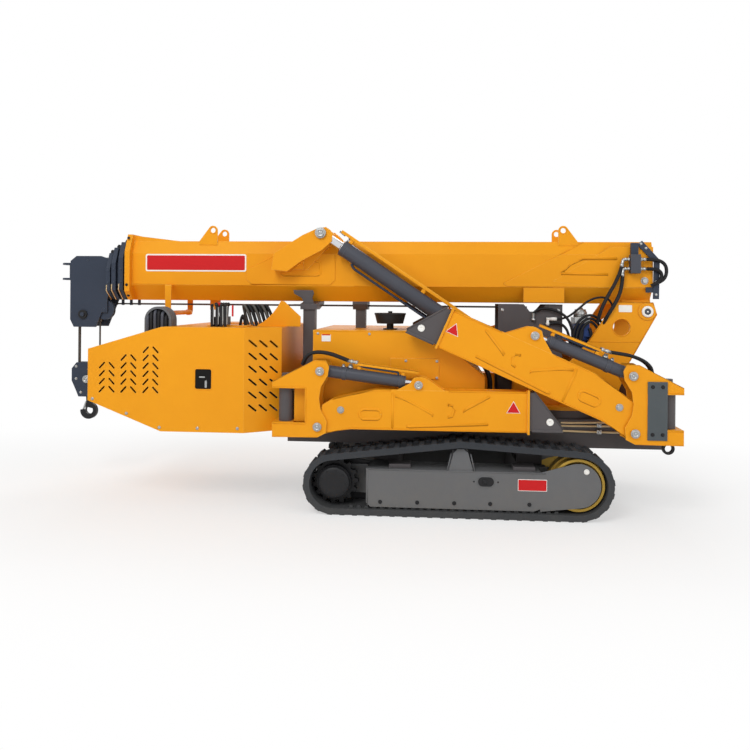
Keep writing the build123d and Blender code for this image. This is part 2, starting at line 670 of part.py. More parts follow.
def boom_head():
    """Side plates, nose guard and axles at the front of the last section."""
    x0, x1 = HEAD_X
    z0, z1 = HEAD_Z
    plate = side_face([(x0, z0 + 60), (x0 + 30, z0), (x1 - 40, z0), (x1 + 60, 1500), (x1 + 60, z1 - 20), (x1, z1),
                       (x0 + 50, z1), (x0, z1 - 40)])
    plate = plate - disc(*HEAD_AXLE, 20 + RUN)
    side = along_y(plate, (HEAD_HALF - HEAD_PLATE, HEAD_HALF))
    body = side + far(side)
    inner = HEAD_HALF - HEAD_PLATE + 2
    body += block((x1 - 60, x1 - 40), (-inner, inner), (1540, z1 - 30))
    body += block((x0 + 60, x1), (-inner, inner), (z1 - 24, z1 - 8))
    body += rod_y(x0 + 55, 1690, 18, (-inner, inner))
    bar_x = (-HALF_LENGTH, x0 + 60)
    guard = side_face([(bar_x[1], -66), (bar_x[0] + 30, -66), (bar_x[0], -36), (bar_x[0], 36), (bar_x[0] + 30, 66),
                       (bar_x[1], 66)])
    for z in (1762, 1640):
        body += Pos(0, 0, z - 8) * extrude(guard, amount=16)
    body += rod_z(bar_x[0] + 55, 0, 14, (1640, 1762))
    body += block((x0 + 40, x0 + 60), (-inner, inner), (1620, 1780))
    return body


def last_section():
    """Section 5, which carries the head."""
    x = (HEAD_X[1] - 40, BOOM_REAR - 40 - 200)
    body = boom_bar(5, x) - boom_bar(5, (x[0] - 1, x[1] + 1), BOOM_WALL)
    return body + slide_pads(5)


def sheave(x, z, r, y):
    """Grooved rope wheel."""
    middle = (y[0] + y[1]) / 2
    wheel = rod_y(x, z, r, y)
    groove = rod_y(x, z, r + 1, (middle - 8, middle + 8)) - rod_y(x, z, r - 14, (middle - 9, middle + 9))
    return wheel - groove


def head_sheaves():
    """Rope wheels on the head's axles."""
    wheels = sheave(*HEAD_AXLE, HEAD_SHEAVE_R, (-84, -58)) + sheave(*HEAD_AXLE, HEAD_SHEAVE_R, (58, 84))
    wheels += rod_y(*HEAD_AXLE, 20, (-HEAD_HALF - 14, HEAD_HALF + 14))
    for y in (-HEAD_HALF - 12, HEAD_HALF):
        wheels += rod_y(*HEAD_AXLE, 36, (y + 0.2, y + 11.8))
    return wheels


def rear_sheave():
    x, z = REAR_SHEAVE
    wheel = sheave(x, z, 78, (-100, -66))
    arm = side_face([(x - 30, z - 20), (x + 30, z - 20), (x + 30, 1560), (x - 30, 1560)])
    return wheel, arm


def hoist_falls():
    """The rope falls that carry the hook block, with the yoke they hang from."""
    x, z = HEAD_AXLE
    yoke = rod_y(x, z, 44, (-30, 30)) - rod_y(x, z, 20 + RUN, (-31, 31))
    yoke += block((x - 95, x + 95), (-12, 12), (z - 60, z - 40))
    falls = yoke
    for dx in (-86, 86):
        for y in (-9, 9) if dx < 0 else (0,):
            falls += rod_z(x + dx, y, ROPE_R, (BLOCK_Z[1] - 8 + SEAT, z - 42))
    return falls


def hook_block():
    """Cheeks of the hook block round its sheave."""
    x = HEAD_AXLE[0]
    z0, z1 = BLOCK_Z
    a = BLOCK_HALF_X
    cheek = side_face([(x - a * 0.55, z0), (x + a * 0.55, z0), (x + a * 0.75, z0 + 60), (x + a, z0 + 130),
                       (x + a, z1 - 50), (x + a - 40, z1 - SEAT), (x - a + 40, z1 - SEAT), (x - a, z1 - 50),
                       (x - a, z0 + 130), (x - a * 0.75, z0 + 60)])
    body = along_y(cheek, (BLOCK_HALF_Y - 14, BLOCK_HALF_Y)) + along_y(cheek, (-BLOCK_HALF_Y, 14 - BLOCK_HALF_Y))
    body += sheave(x, z1 - 135, 96, (-22, 22)) + rod_y(x, z1 - 135, 22, (-BLOCK_HALF_Y - 8, BLOCK_HALF_Y + 8))
    body += block((x - 60, x + 60), (-BLOCK_HALF_Y + 2, BLOCK_HALF_Y - 2), (z0, z0 + 36))
    body += block((x - 100, x - 72), (-33, 33), (z1 - 32, z1 - 8)) + block((x + 72, x + 100), (-33, 33),
                                                                        (z1 - 32, z1 - 8))
    return body


def hook():
    """Single hook with its shank."""
    x = HEAD_AXLE[0]
    z = HOOK_BOTTOM + 68
    bow = disc(x, z, 68) - disc(x + 6, z + 4, 32)
    bow = bow - side_face([(x - 90, z + 6), (x - 26, z + 6), (x - 20, z + 80), (x - 90, z + 80)])
    shank = side_face([(x - 16, z + 30), (x + 30, z + 20), (x + 20, BLOCK_Z[0] - SEAT), (x - 20, BLOCK_Z[0] - SEAT)])
    return along_y(bow + shank, (-17, 17))


def lift_axis():
    dx = LIFT_EAR[0] - LIFT_BASE[0]
    dz = LIFT_EAR[1] - LIFT_BASE[1]
    return hypot(dx, dz), degrees(atan2(dz, -dx))


def place_cylinder(shape, base, angle):
    """Stand a cylinder drawn along +X at its base pin, pointing back (-X) and up by the angle."""
    return Pos(base[0], 0, base[1]) * Rot(0, 180 + angle, 0) * shape


def tube_x(r, x, y=0):
    return Pos((x[0] + x[1]) / 2, y, 0) * Rot(0, 90, 0) * Cylinder(r, x[1] - x[0])


def lift_barrel():
    length, angle = lift_axis()
    end = length - 190
    y = LIFT_Y
    body = tube_x(LIFT_BARREL_R, (70, end), y) - tube_x(LIFT_BARREL_R - 11, (110, end - 40), y)
    body -= tube_x(LIFT_ROD_R + SEAT, (end - 41, end + 1), y)
    body += rod_y(0, 0, 54, (y - 27, y + 27)) + block((0, 80), (y - 27, y + 27), (-50, 50))
    body -= rod_y(0, 0, LIFT_PIN_R + RUN, (y - 30, y + 30))
    for x in (230, end - 40):
        body += tube_x(LIFT_BARREL_R + 2, (x, x + 34), y) - tube_x(LIFT_BARREL_R - 2, (x - 1, x + 35), y)
    return Compound([place_cylinder(s, LIFT_BASE, angle) for s in (body, far(body))])


def lift_rod():
    length, angle = lift_axis()
    y = LIFT_Y
    body = tube_x(LIFT_ROD_R, (190, length - 30), y) + tube_x(LIFT_BARREL_R - 11 - SEAT, (150, 215), y)
    body += rod_y(length, 0, 44, (y - 26, y + 26))
    return Compound([place_cylinder(s, LIFT_BASE, angle) for s in (body, far(body))])


def leg_to_bracket(shape, kind):
    """Move a shape from the leg's own frame to the swing axis frame."""
    angle = LEG_TYPES[kind][0]
    return Pos(PIVOT_U, 0, PIVOT_Z) * Rot(0, -angle, 0) * shape


def ear_place(kind):
    """The cylinder ear's pin in the swing axis frame."""
    angle, x, z = LEG_TYPES[kind]
    c, s = cos(radians(angle)), sin(radians(angle))
    return PIVOT_U + x * c - z * s, PIVOT_Z + x * s + z * c


def bracket():
    """Swinging bracket: two side plates, the blocks round the swing pin and the leg's pins."""
    z0, z1 = BRACKET_Z
    tail = -BRACKET_TAIL
    outline = side_face([(tail, z0), (PIVOT_U, z0 + 4), (PIVOT_U + 60, 560), (PIVOT_U + 66, 640), (262, 720),
                         (250, 800), (262, 880), (310, 960), (318, 1020), (295, z1), (215, z1),
                         (tail, BRACKET_TAIL_TOP)])
    jaw = side_face([(tail - 1, JAW_Z[0]), (JAW_U, JAW_Z[0]), (JAW_U, JAW_Z[1]), (tail - 1, JAW_Z[1])])
    plate = outline - jaw
    y = (BRACKET_HALF - BRACKET_PLATE, BRACKET_HALF)
    side = along_y(plate, y)
    body = side + far(side)
    inner = y[0] + 1
    for z in ((z0, JAW_Z[0]), (JAW_Z[1], z1)):
        body += along_y(outline, (-inner, inner)) & block((tail, 62), (-inner, inner), z)
    body += block((62, JAW_U + 1), (-10, 10), (JAW_Z[0] - 1, JAW_Z[1] + 1))
    body += block((62, 150), (-inner, inner), (JAW_Z[1], JAW_Z[1] + 14))
    body -= rod_z(0, 0, SWING_PIN_R + RUN, (z0 - 1, z1 + 1))
    body += rod_y(PIVOT_U, PIVOT_Z, PIVOT_R, (-BRACKET_HALF - 8, BRACKET_HALF + 8))
    body += rod_y(BARREL_U, BARREL_Z, PIVOT_R, (-BRACKET_HALF - 8, BRACKET_HALF + 8))
    return body


def leg_outer(kind):
    """Hollow outer leg with its rounded root, ear plates and end flange."""
    angle, ear_x, ear_z = LEG_TYPES[kind]
    low, high = LEG_BOTTOM, LEG_TOP
    root = side_face([(0, -58), (230, low), (LEG_LENGTH, low), (LEG_LENGTH, high), (400, high),
                      (105, 195), (30, 150)])
    root = root + disc(0, 0, 58)
    body = along_y(root, (-LEG_HALF, LEG_HALF))
    wall = LEG_WALL
    body -= block((INNER_START - 60, LEG_LENGTH + 1), (-LEG_HALF + wall, LEG_HALF - wall), (low + wall, high - wall))
    body -= block((110, INNER_START - 90), (-LEG_HALF + 12, LEG_HALF - 12), (20, 130))
    body -= rod_y(0, 0, PIVOT_R + RUN, (-LEG_HALF - 1, LEG_HALF + 1))
    flange = block((LEG_LENGTH - FLANGE, LEG_LENGTH), (-LEG_HALF - 14, LEG_HALF + 14), (low - 14, high + 14))
    flange -= block((LEG_LENGTH - FLANGE - 1, LEG_LENGTH + 1), (-LEG_HALF + wall, LEG_HALF - wall),
                    (low + wall, high - wall))
    body += flange
    ear = side_face([(ear_x - 190, high - 20), (ear_x + 210, high - 20), (ear_x + 62, ear_z + 40),
                     (ear_x + 20, ear_z + 56), (ear_x - 30, ear_z + 50), (ear_x - 60, ear_z + 10)])
    for y in ((LEG_HALF - 14, LEG_HALF - 2), (-LEG_HALF + 2, -LEG_HALF + 14)):
        body += along_y(ear, y) - block((0, LEG_LENGTH), (-LEG_HALF, LEG_HALF), (low, high - 4))
        boss_y = (y[1] - 1, y[1] + 8) if y[0] > 0 else (y[0] - 8, y[0] + 1)
        body += rod_y(ear_x, ear_z, PIVOT_R, boss_y)
    return leg_to_bracket(body, kind)


def leg_inner(kind):
    """Inner leg with its slide pads and the foot bracket at its end."""
    low, high = LEG_BOTTOM + LEG_WALL + INNER_CLEAR, LEG_TOP - LEG_WALL - INNER_CLEAR
    half = LEG_HALF - LEG_WALL - INNER_CLEAR
    body = block((INNER_START, LEG_LENGTH + 6), (-half, half), (low, high))
    body -= block((INNER_START - 1, LEG_LENGTH - 8), (-half + 6, half - 6), (low + 6, high - 6))
    pad = INNER_CLEAR - SEAT
    for x in (INNER_START + 10, LEG_LENGTH - 120):
        body += block((x, x + 90), (-half + 15, half - 15), (low - pad, low + 1))
        body += block((x, x + 90), (-half + 15, half - 15), (high - 1, high + pad))
        body += block((x, x + 90), (-half - pad, -half + 1), (low + 60, high - 60))
        body += block((x, x + 90), (half - 1, half + pad), (low + 60, high - 60))
    end = LEG_LENGTH + 6
    plate = side_face([(end - 1, low), (FOOT_U + 85, low), (FOOT_U + 90, low + 20), (end + 26, high + 8), (end - 1, high + 8)])
    plate = plate - disc(FOOT_U, FOOT_Z, FOOT_R)
    for y in ((half - 14, half), (-half, -half + 14)):
        body += along_y(plate, y)
    body += rod_y(FOOT_U, FOOT_Z, FOOT_R + 11, (-half, half)) - rod_y(FOOT_U, FOOT_Z, FOOT_R, (-half - 1, half + 1))
    body += block((end - 1, end + 14), (-half, half), (low, high + 8))
    body += block((end + 10, FOOT_U + 85), (-half - 8, half + 8), (low - 8, low + 4))
    return leg_to_bracket(body, kind)


def leg_cylinder(kind):
    """Barrel and rod between the bracket's upper pin and the leg's ear."""
    ex, ez = ear_place(kind)
    length = hypot(ex - BARREL_U, ez - BARREL_Z)
    angle = degrees(atan2(ez - BARREL_Z, ex - BARREL_U))
    end = length - 95
    barrel = tube_x(LEG_BARREL_R, (52, end)) - tube_x(LEG_BARREL_R - 7, (85, end - 30))
    barrel -= tube_x(LEG_ROD_R + SEAT, (end - 31, end + 1))
    barrel += rod_y(0, 0, 44, (-30, 30)) + block((0, 60), (-30, 30), (-36, 36))
    barrel -= rod_y(0, 0, PIVOT_R + RUN, (-31, 31))
    for x in (end - 44, 150):
        ring = tube_x(LEG_BARREL_R + 5, (x, x + 26)) - tube_x(LEG_BARREL_R - 2, (x - 1, x + 27))
        barrel += ring
    rod = tube_x(LEG_ROD_R, (120, length - 20)) + tube_x(LEG_BARREL_R - 7 - SEAT, (95, 140))
    rod += rod_y(length, 0, 33, (-34, 34))
    return [Pos(BARREL_U, 0, BARREL_Z) * Rot(0, -angle, 0) * s for s in (barrel, rod)]


def at_corner(shape, end, side):
    """Put a shape from the swing axis frame at one corner of the chassis."""
    x = SWING_X[1] if end == "front" else SWING_X[0]
    if end == "front":
        shape = mirror(shape, about=Plane.YZ)
    shape = Pos(x, SWING_Y, 0) * shape
    return shape if side == "far" else far(shape)


def outriggers():
    nodes = {}
    for number, (end, side, kind) in OUTRIGGERS.items():
        barrel, rod = leg_cylinder(kind)
        pieces = {
            "bracket": bracket(),
            "leg": leg_outer(kind),
            "leg_inner": leg_inner(kind),
            "cylinder": barrel,
            "cylinder_rod": rod,
        }
        for name, shape in pieces.items():
            nodes[f"outrigger_{number}_{name}"] = at_corner(shape, end, side)
    return nodes


def head_node():
    wheel, arm = rear_sheave()
    body = boom_head()
    body += wheel
    for y in ((-HEAD_HALF, -HEAD_HALF + 12), (-60, -48)):
        body += along_y(arm, y) - boom_bar(5, (-2100, -1800), 0)
    body += rod_y(*REAR_SHEAVE, 16, (-HEAD_HALF - 4, -44))
    return body


def model():
    track_solid = track()
    frame = track_frame()
    nodes = {
        "track_near": far(track_solid),
        "track_far": track_solid,
        "track_frame_near": far(frame),
        "track_frame_far": frame,
        "sprockets": both(sprocket()),
        "idlers": both(idler()),
        "chassis": chassis(),
        "engine_block": block(*ENGINE),
        "engine_cover": engine_cover(),
        "hood": hood(),
        "boom_rests": boom_rests(),
        "air_cleaner": air_cleaner(),
        "valve_bank": valve_bank(),
        "hose_guard": hose_guard(),
        "slew_ring": slew_ring(),
        "turret": turret(),
        "slew_drive": slew_drive(),
        "winch_frame": winch_frame(),
        "winch_drum": winch_drum(),
        "boom_1": base_boom(),
        "boom_5": last_section(),
        "boom_head": head_node(),
        "head_sheaves": head_sheaves(),
        "hoist_falls": hoist_falls(),
        "hook_block": hook_block(),
        "hook": hook(),
        "lift_barrels": lift_barrel(),
        "lift_rods": lift_rod(),
    }
    for section in (2, 3, 4):
        nodes[f"boom_{section}"] = inner_section(section)
    nodes.update(outriggers())
    return nodes


os.makedirs("parts", exist_ok=True)
for node, shape in model().items():
    export_step(shape, f"parts/{node}.step")
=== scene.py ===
"""Looks of the crawler crane: finishes on the CAD frame, and the bolts, hoses, pipes, welds and blank signs on it.

Sizes are in millimetres in the CAD frame, +X towards the turret end and -Y towards the camera, and MM brings them to
metres. What both sides have is drawn for the near side and mirrored.
"""
from math import atan2, cos, hypot, pi, radians, sin

import bmesh
import bpy
from mathutils import Matrix, Vector


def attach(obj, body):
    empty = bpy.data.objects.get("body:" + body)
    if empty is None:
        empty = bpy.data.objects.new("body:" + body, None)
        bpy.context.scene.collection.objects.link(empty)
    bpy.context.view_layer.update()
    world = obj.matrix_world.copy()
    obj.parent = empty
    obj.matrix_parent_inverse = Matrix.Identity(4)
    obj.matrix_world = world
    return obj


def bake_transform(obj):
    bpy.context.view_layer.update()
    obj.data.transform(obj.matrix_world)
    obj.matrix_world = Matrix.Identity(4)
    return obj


MM = 0.001
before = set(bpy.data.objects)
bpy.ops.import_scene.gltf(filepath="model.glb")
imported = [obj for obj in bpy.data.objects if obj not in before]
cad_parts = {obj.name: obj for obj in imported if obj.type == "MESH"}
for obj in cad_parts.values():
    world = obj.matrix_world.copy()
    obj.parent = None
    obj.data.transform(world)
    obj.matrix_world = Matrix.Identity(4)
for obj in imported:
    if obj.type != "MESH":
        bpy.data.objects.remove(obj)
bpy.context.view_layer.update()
scene = bpy.context.scene

# Directions; OUT leaves the near side
OUT = (0, -1, 0)
UP = (0, 0, 1)
RIGHT = (1, 0, 0)

# Sizes and places that repeat part.py's
TRACK_FACE = 730
TRACK_WHEELS = ((-15, 212, 212), (866, 470, 60), (1659, 240, 240))
SPROCKET = (-15, 212)
COVER_FACE = 680
COVER_TOP = 1284
HOOD_FACE = 520
TURRET_FACE = 236
BOOM_PIVOT = (2241, 1419)
BOOM_FACE = 190
BOOM_TOP = 1940
BOOM_BOTTOM = 1475
DOUBLER = 6
EAR_Z = 2025
EARS = ((-1062, -108, 36), (1641, -36, 108))
HEAD_SHEAVE = (-2135, 1355)
HOOK_SHEAVE = (-2135, 828)
LIFT_BASE = (1311, 987)
LIFT_EAR = (-184, 1990)
LIFT_Y = 264
SWING_Y = 640
SWING_X = {"front": 2270, "rear": -370}
LEG_PIVOT = (240, 603)
CYLINDER_PIVOT = (255, 990)
LEG_FACE = 65
BRACKET_FACE = 84
# Per kind of leg: angle at rest, and the place of the cylinder's ear along and above the leg
LEGS = {"high": (23.5, 872, 330), "low": (0.0, 701, 300)}
OUTRIGGERS = {1: ("front", "near", "high"), 2: ("front", "far", "high"), 3: ("rear", "near", "low"),
              4: ("rear", "far", "low")}


# ---- finishes

def put(node, **values):
    """Sets a node's inputs, each named with _ for a space, or else its own settings."""
    for name, value in values.items():
        title = name.replace("_", " ")
        if title in node.inputs:
            node.inputs[title].default_value = value
        else:
            setattr(node, name, value)
    return node


def node_of(tree, kind, **values):
    return put(tree.nodes.new(kind), **values)


def linear(rgb):
    """Linear colour from a hex string such as E8A51E."""
    parts = [int(rgb[i:i + 2], 16) / 255 for i in (0, 2, 4)]
    return [p / 12.92 if p < 0.04045 else ((p + 0.055) / 1.055) ** 2.4 for p in parts] + [1]


def noise(tree, place, **values):
    """Noise over the object's own place."""
    node = node_of(tree, "ShaderNodeTexNoise", **values)
    tree.links.new(place, node.inputs["Vector"])
    return node.outputs["Fac"]


def ranged(tree, value, start, end, low=0.0, high=1.0, **settings):
    """value brought from the range start to end to the range low to high."""
    node = node_of(tree, "ShaderNodeMapRange", From_Min=start, From_Max=end, To_Min=low, To_Max=high, **settings)
    tree.links.new(value, node.inputs["Value"])
    return node.outputs["Result"]


def times(tree, a, b):
    node = node_of(tree, "ShaderNodeMath", operation="MULTIPLY")
    tree.links.new(a, node.inputs[0])
    tree.links.new(b, node.inputs[1])
    return node.outputs["Value"]


def mixed(tree, share, a, b):
    """Colour a with a share of b. b is a hex string, and a is one or an output."""
    node = node_of(tree, "ShaderNodeMix", data_type="RGBA")
    tree.links.new(share, node.inputs["Factor"])
    if isinstance(a, str):
        node.inputs["A"].default_value = linear(a)
    else:
        tree.links.new(a, node.inputs["A"])
    node.inputs["B"].default_value = linear(b)
    return node.outputs["Result"]


def finish_material(name, colour, dark, rough=0.4, metal=0.0, grain=0.02, grain_scale=900.0, patch=0.5, edge_wear_and_highlight=None,
                    edge_mm=3.0, coat=0.0, dust_and_crease_shade=None, shine=0.22):
    """A finish with large patches between two tones, fine grain in its bump and soft edges.

    The edge colour is worn paint at the edges with a painted highlight along them, and the dust colour is dust that
    gathers towards the floor.
    """
    material = bpy.data.materials.new(name)
    material.use_nodes = True
    tree = material.node_tree
    link = tree.links.new
    shader = tree.nodes["Principled BSDF"]
    put(shader, Metallic=metal, Coat_Weight=coat, Coat_Roughness=0.18, Specular_IOR_Level=shine)
    place = node_of(tree, "ShaderNodeTexCoord").outputs["Object"]
    broad = noise(tree, place, Scale=2.2, Detail=4.0, Roughness=0.6)
    paint = mixed(tree, ranged(tree, broad, 0.35, 0.75, high=patch), colour, dark)
    soft = node_of(tree, "ShaderNodeBevel", samples=6, Radius=edge_mm * MM)
    if edge_wear_and_highlight:
        flat = node_of(tree, "ShaderNodeNewGeometry")
        dot = node_of(tree, "ShaderNodeVectorMath", operation="DOT_PRODUCT")
        link(soft.outputs["Normal"], dot.inputs[0])
        link(flat.outputs["Normal"], dot.inputs[1])
        # Edges lighter in broken patches: worn paint, with a highlight painted along the edges
        edge_mask = ranged(tree, dot.outputs["Value"], 0.995, 0.90)
        edge_breaks = ranged(tree, noise(tree, place, Scale=38.0, Detail=6.0, Roughness=0.7), 0.30, 0.52)
        paint = mixed(tree, times(tree, edge_mask, edge_breaks), paint, edge_wear_and_highlight)
    if dust_and_crease_shade:
        height = node_of(tree, "ShaderNodeSeparateXYZ")
        link(place, height.inputs["Vector"])
        low = ranged(tree, height.outputs["Z"], 0.55, 0.0, high=0.75)
        specks = noise(tree, place, Scale=9.0, Detail=8.0, Roughness=0.7)
        paint = mixed(tree, times(tree, low, specks), paint, dust_and_crease_shade)
    link(paint, shader.inputs["Base Color"])
    link(ranged(tree, broad, 0.0, 1.0, rough - 0.06, rough + 0.08), shader.inputs["Roughness"])
    bump = node_of(tree, "ShaderNodeBump", Strength=0.25, Distance=grain * MM * 10)
    link(noise(tree, place, Scale=grain_scale, Detail=3.0), bump.inputs["Height"])
    link(soft.outputs["Normal"], bump.inputs["Normal"])
    link(bump.outputs["Normal"], shader.inputs["Normal"])
    return material


# Per finish: colour, its darker tone and the settings of finish_material
# The edge colours stand for worn paint and for a highlight painted along every edge
FINISHES = {
    "yellow": ("EE9F1C", "E39218", dict(rough=0.44, edge_wear_and_highlight="FFCE62", coat=0.02, shine=0.13)),
    "dark_frame": ("575354", "484548", dict(rough=0.44, edge_wear_and_highlight="757173", grain=0.05)),
    "slate": ("353D4C", "2C3340", dict(rough=0.42, edge_wear_and_highlight="566070", grain=0.04)),
    "grey_frame": ("66686B", "585A5D", dict(rough=0.46, edge_wear_and_highlight="85868A", dust_and_crease_shade="7C7770")),
    "gold": ("BE9C45", "A88636", dict(rough=0.42, metal=0.35, edge_wear_and_highlight="D9BE72")),
    "rubber": ("383B40", "2C2F33", dict(rough=0.72, grain=0.3, grain_scale=260.0, dust_and_crease_shade="565450")),
    "black": ("242426", "1B1B1D", dict(rough=0.42, grain=0.05)),
    "hose": ("1F1F21", "151517", dict(rough=0.55, grain=0.2, grain_scale=700.0)),
    "chrome": ("D5D7DA", "C2C5C9", dict(rough=0.14, metal=1.0, grain=0.004)),
    "steel": ("B0B1AF", "96989A", dict(rough=0.34, metal=0.85, grain=0.04)),
    "rope": ("5C5B58", "45433F", dict(rough=0.5, metal=0.5, grain=0.5, grain_scale=420.0)),
    "engine": ("4A4B4D", "35363A", dict(rough=0.6, metal=0.3, grain=0.3, grain_scale=120.0)),
    "barrel": ("4B4D55", "3E4048", dict(rough=0.34, edge_wear_and_highlight="70737A", grain=0.04)),
    "plate": ("52585B", "454B4E", dict(rough=0.42, edge_wear_and_highlight="73797C", grain=0.04)),
    "blue": ("24407A", "1C3263", dict(edge_wear_and_highlight="4A669C")),
    "red": ("CC1C20", "BC171C", dict(rough=0.42, patch=0.3, edge_mm=0.8)),
    "white": ("F2F1EC", "E4E2DB", dict(rough=0.42, patch=0.3, edge_mm=0.8)),
    "cream": ("E6CDA0", "D4B888", dict(edge_mm=1.0)),
    # Painted shade: the dark brown line laid under each rolled crease
    "painted_crease_shade": ("A5650F", "8F560D", dict(rough=0.6, edge_mm=0.8)),
    "shadow": ("141312", "0D0C0C", dict(rough=0.8)),
}
FINISH = {name: finish_material(name, colour, dark, **settings)
          for name, (colour, dark, settings) in FINISHES.items()}

FINISHED_NODES = {
    "yellow": "engine_cover hood turret boom_1", "dark_frame": "chassis boom_rests slew_ring winch_frame",
    "slate": "boom_2 boom_3 boom_4 boom_5 boom_head hook_block",
    "grey_frame": "track_frame_near track_frame_far hose_guard",
    "black": "sprockets air_cleaner valve_bank head_sheaves hook", "rubber": "track_near track_far",
    "rope": "winch_drum hoist_falls", "gold": "idlers", "engine": "engine_block", "blue": "slew_drive",
    "barrel": "lift_barrels", "chrome": "lift_rods",
}
OUTRIGGER_FINISH = {"bracket": "yellow", "leg": "yellow", "leg_inner": "dark_frame", "cylinder": "barrel",
                    "cylinder_rod": "chrome"}
for part, finish in OUTRIGGER_FINISH.items():
    for number in OUTRIGGERS:
        FINISHED_NODES[finish] += f" outrigger_{number}_{part}"
for finish, names in FINISHED_NODES.items():
    for name in names.split():
        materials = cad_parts[name].data.materials
        materials.clear()
        materials.append(FINISH[finish])


# ---- shapes

def settle(piece, body):
    """Puts a new piece in the scene, on its body."""
    scene.collection.objects.link(piece)
    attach(piece, body)
    return piece


def circle(x, z, r, start, step, count):
    """count points in X and Z on a circle, from the angle start in degrees."""
    return [(x + r * cos(radians(start + step * i)), z + r * sin(radians(start + step * i))) for i in range(count)]


def at_y(points, y):
    """Points in X and Z, brought to one Y."""
    return [(x, y, z) for x, z in points]


class Build:
    """Collects small shapes, in millimetres, into one mesh that rides on a body."""

    def __init__(self, name, body, finish, place=None):
        self.name, self.body, self.finish = name, body, finish
        self.mesh = bmesh.new()
        self.place = place or Matrix.Identity(4)
        # Lines of painted shade under the rolled creases
        self.dust_and_crease_shade = []

    def _done(self, verts, smooth=False):
        bmesh.ops.transform(self.mesh, matrix=self.place, verts=verts)
        for face in {f for v in verts for f in v.link_faces}:
            face.smooth = smooth

    def prism(self, points, y, bevel=2.0):
        """Outline in X and Z between two Y places, with bevelled edges."""
        low = [self.mesh.verts.new((x, y[0], z)) for x, z in points]
        high = [self.mesh.verts.new((x, y[1], z)) for x, z in points]
        count = len(points)
        faces = [self.mesh.faces.new(low), self.mesh.faces.new(high[::-1])]
        for i in range(count):
            j = (i + 1) % count
            faces.append(self.mesh.faces.new((low[i], high[i], high[j], low[j])))
        bmesh.ops.recalc_face_normals(self.mesh, faces=faces)
        verts = low + high
        if bevel:
            edges = list({e for f in faces for e in f.edges})
            made = bmesh.ops.bevel(self.mesh, geom=edges, offset=bevel, segments=2, profile=0.6, affect="EDGES")
            verts = list({v for f in made["faces"] for v in f.verts} | {v for v in verts if v.is_valid})
        self._done(verts)
        return self

    def box(self, x, y, z, bevel=2.0):
        return self.prism([(x[0], z[0]), (x[1], z[0]), (x[1], z[1]), (x[0], z[1])], y, bevel)

    def _tube(self, rings, smooth, shift=False):
        """Closed form through rings of as many points. With shift, each ring starts at its point nearest the last."""
        sides = len(rings[0])
        ends = [self.mesh.faces.new(rings[0][::-1]), self.mesh.faces.new(rings[-1])]
        faces = list(ends)
        for a, b in zip(rings, rings[1:]):
            start = min(range(sides), key=lambda k: (b[k].co - a[0].co).length) if shift else 0
            for i in range(sides):
                j = (i + 1) % sides
                faces.append(self.mesh.faces.new((a[i], a[j], b[(start + j) % sides], b[(start + i) % sides])))
        bmesh.ops.recalc_face_normals(self.mesh, faces=faces)
        self._done([v for ring in rings for v in ring], smooth)
        return ends

    def _ring(self, centre, side, other, r, sides):
        turns = [2 * pi * i / sides for i in range(sides)]
        return [self.mesh.verts.new(centre + side * (r * cos(t)) + other * (r * sin(t))) for t in turns]

    def round(self, centre, axis, profile, sides=24, smooth=True):
        """Turned form round an axis through centre: profile is pairs of distance along the axis and radius."""
        axis = Vector(axis).normalized()
        side = axis.orthogonal().normalized()
        other = axis.cross(side)
        rings = [self._ring(Vector(centre) + axis * along, side, other, r, sides) for along, r in profile]
        for face in self._tube(rings, smooth):
            face.smooth = False
        return self

    def bolt(self, centre, axis=OUT, r=9):
        """Hexagon head on its washer, rounded at the top."""
        self.round(centre, axis, ((-0.5, r * 1.25), (r * 0.2, r * 1.25)), 20, False)
        return self.round(centre, axis, ((0, r), (r * 0.72, r), (r * 0.86, r * 0.82)), 6, False)

    def bolts(self, places, y, axis=OUT, r=9):
        """Bolts at places in X and Z, at one Y."""
        for x, z in places:
            self.bolt((x, y, z), axis, r)
        return self

    def pin(self, centre, axis=OUT, r=24):
        """Pin end with its collar, recess and centre screw."""
        self.round(centre, axis, ((-1, r * 1.22), (r * 0.22, r * 1.22), (r * 0.26, r * 1.14)), 32)
        shape = ((0, 0.92), (0.5, 0.92), (0.58, 0.82), (0.58, 0.6), (0.42, 0.56), (0.42, 0.3), (0.56, 0.26))
        return self.round(centre, axis, [(r * along, r * radius) for along, radius in shape], 32)

    def bead(self, points, r=3.0, sides=8):
        """Weld or rolled crease: a round line along points."""
        points = [Vector(p) for p in points]
        rings = []
        for i, p in enumerate(points):
            ahead = (points[min(i + 1, len(points) - 1)] - points[max(i - 1, 0)]).normalized()
            side = ahead.orthogonal().normalized()
            rings.append(self._ring(p, side, ahead.cross(side), r, sides))
        self._tube(rings, True, shift=True)
        return self

    def loop(self, outer, inner, y):
        """Band between two closed outlines of as many points, in X and Z, between two Y places."""
        rings = [[self.mesh.verts.new(point) for point in at_y(line, depth)] for line, depth in
                 ((outer, y[0]), (outer, y[1]), (inner, y[1]), (inner, y[0]))]
        for a, b in zip(rings, rings[1:] + rings[:1]):
            for i in range(len(outer)):
                j = (i + 1) % len(outer)
                self.mesh.faces.new((a[i], a[j], b[j], b[i]))
        self._done([v for ring in rings for v in ring])
        return self

    def crease(self, points, r=11, sink=5.2):
        """Rolled crease: a bead sunk towards the middle plane, with a line of painted shade in its lower corner."""
        self.dust_and_crease_shade.append([(x, y, z - r * 0.88) for x, y, z in points])
        return self.bead([(x, y - sink * (1 if y > 0 else -1), z) for x, y, z in points], r, 10)

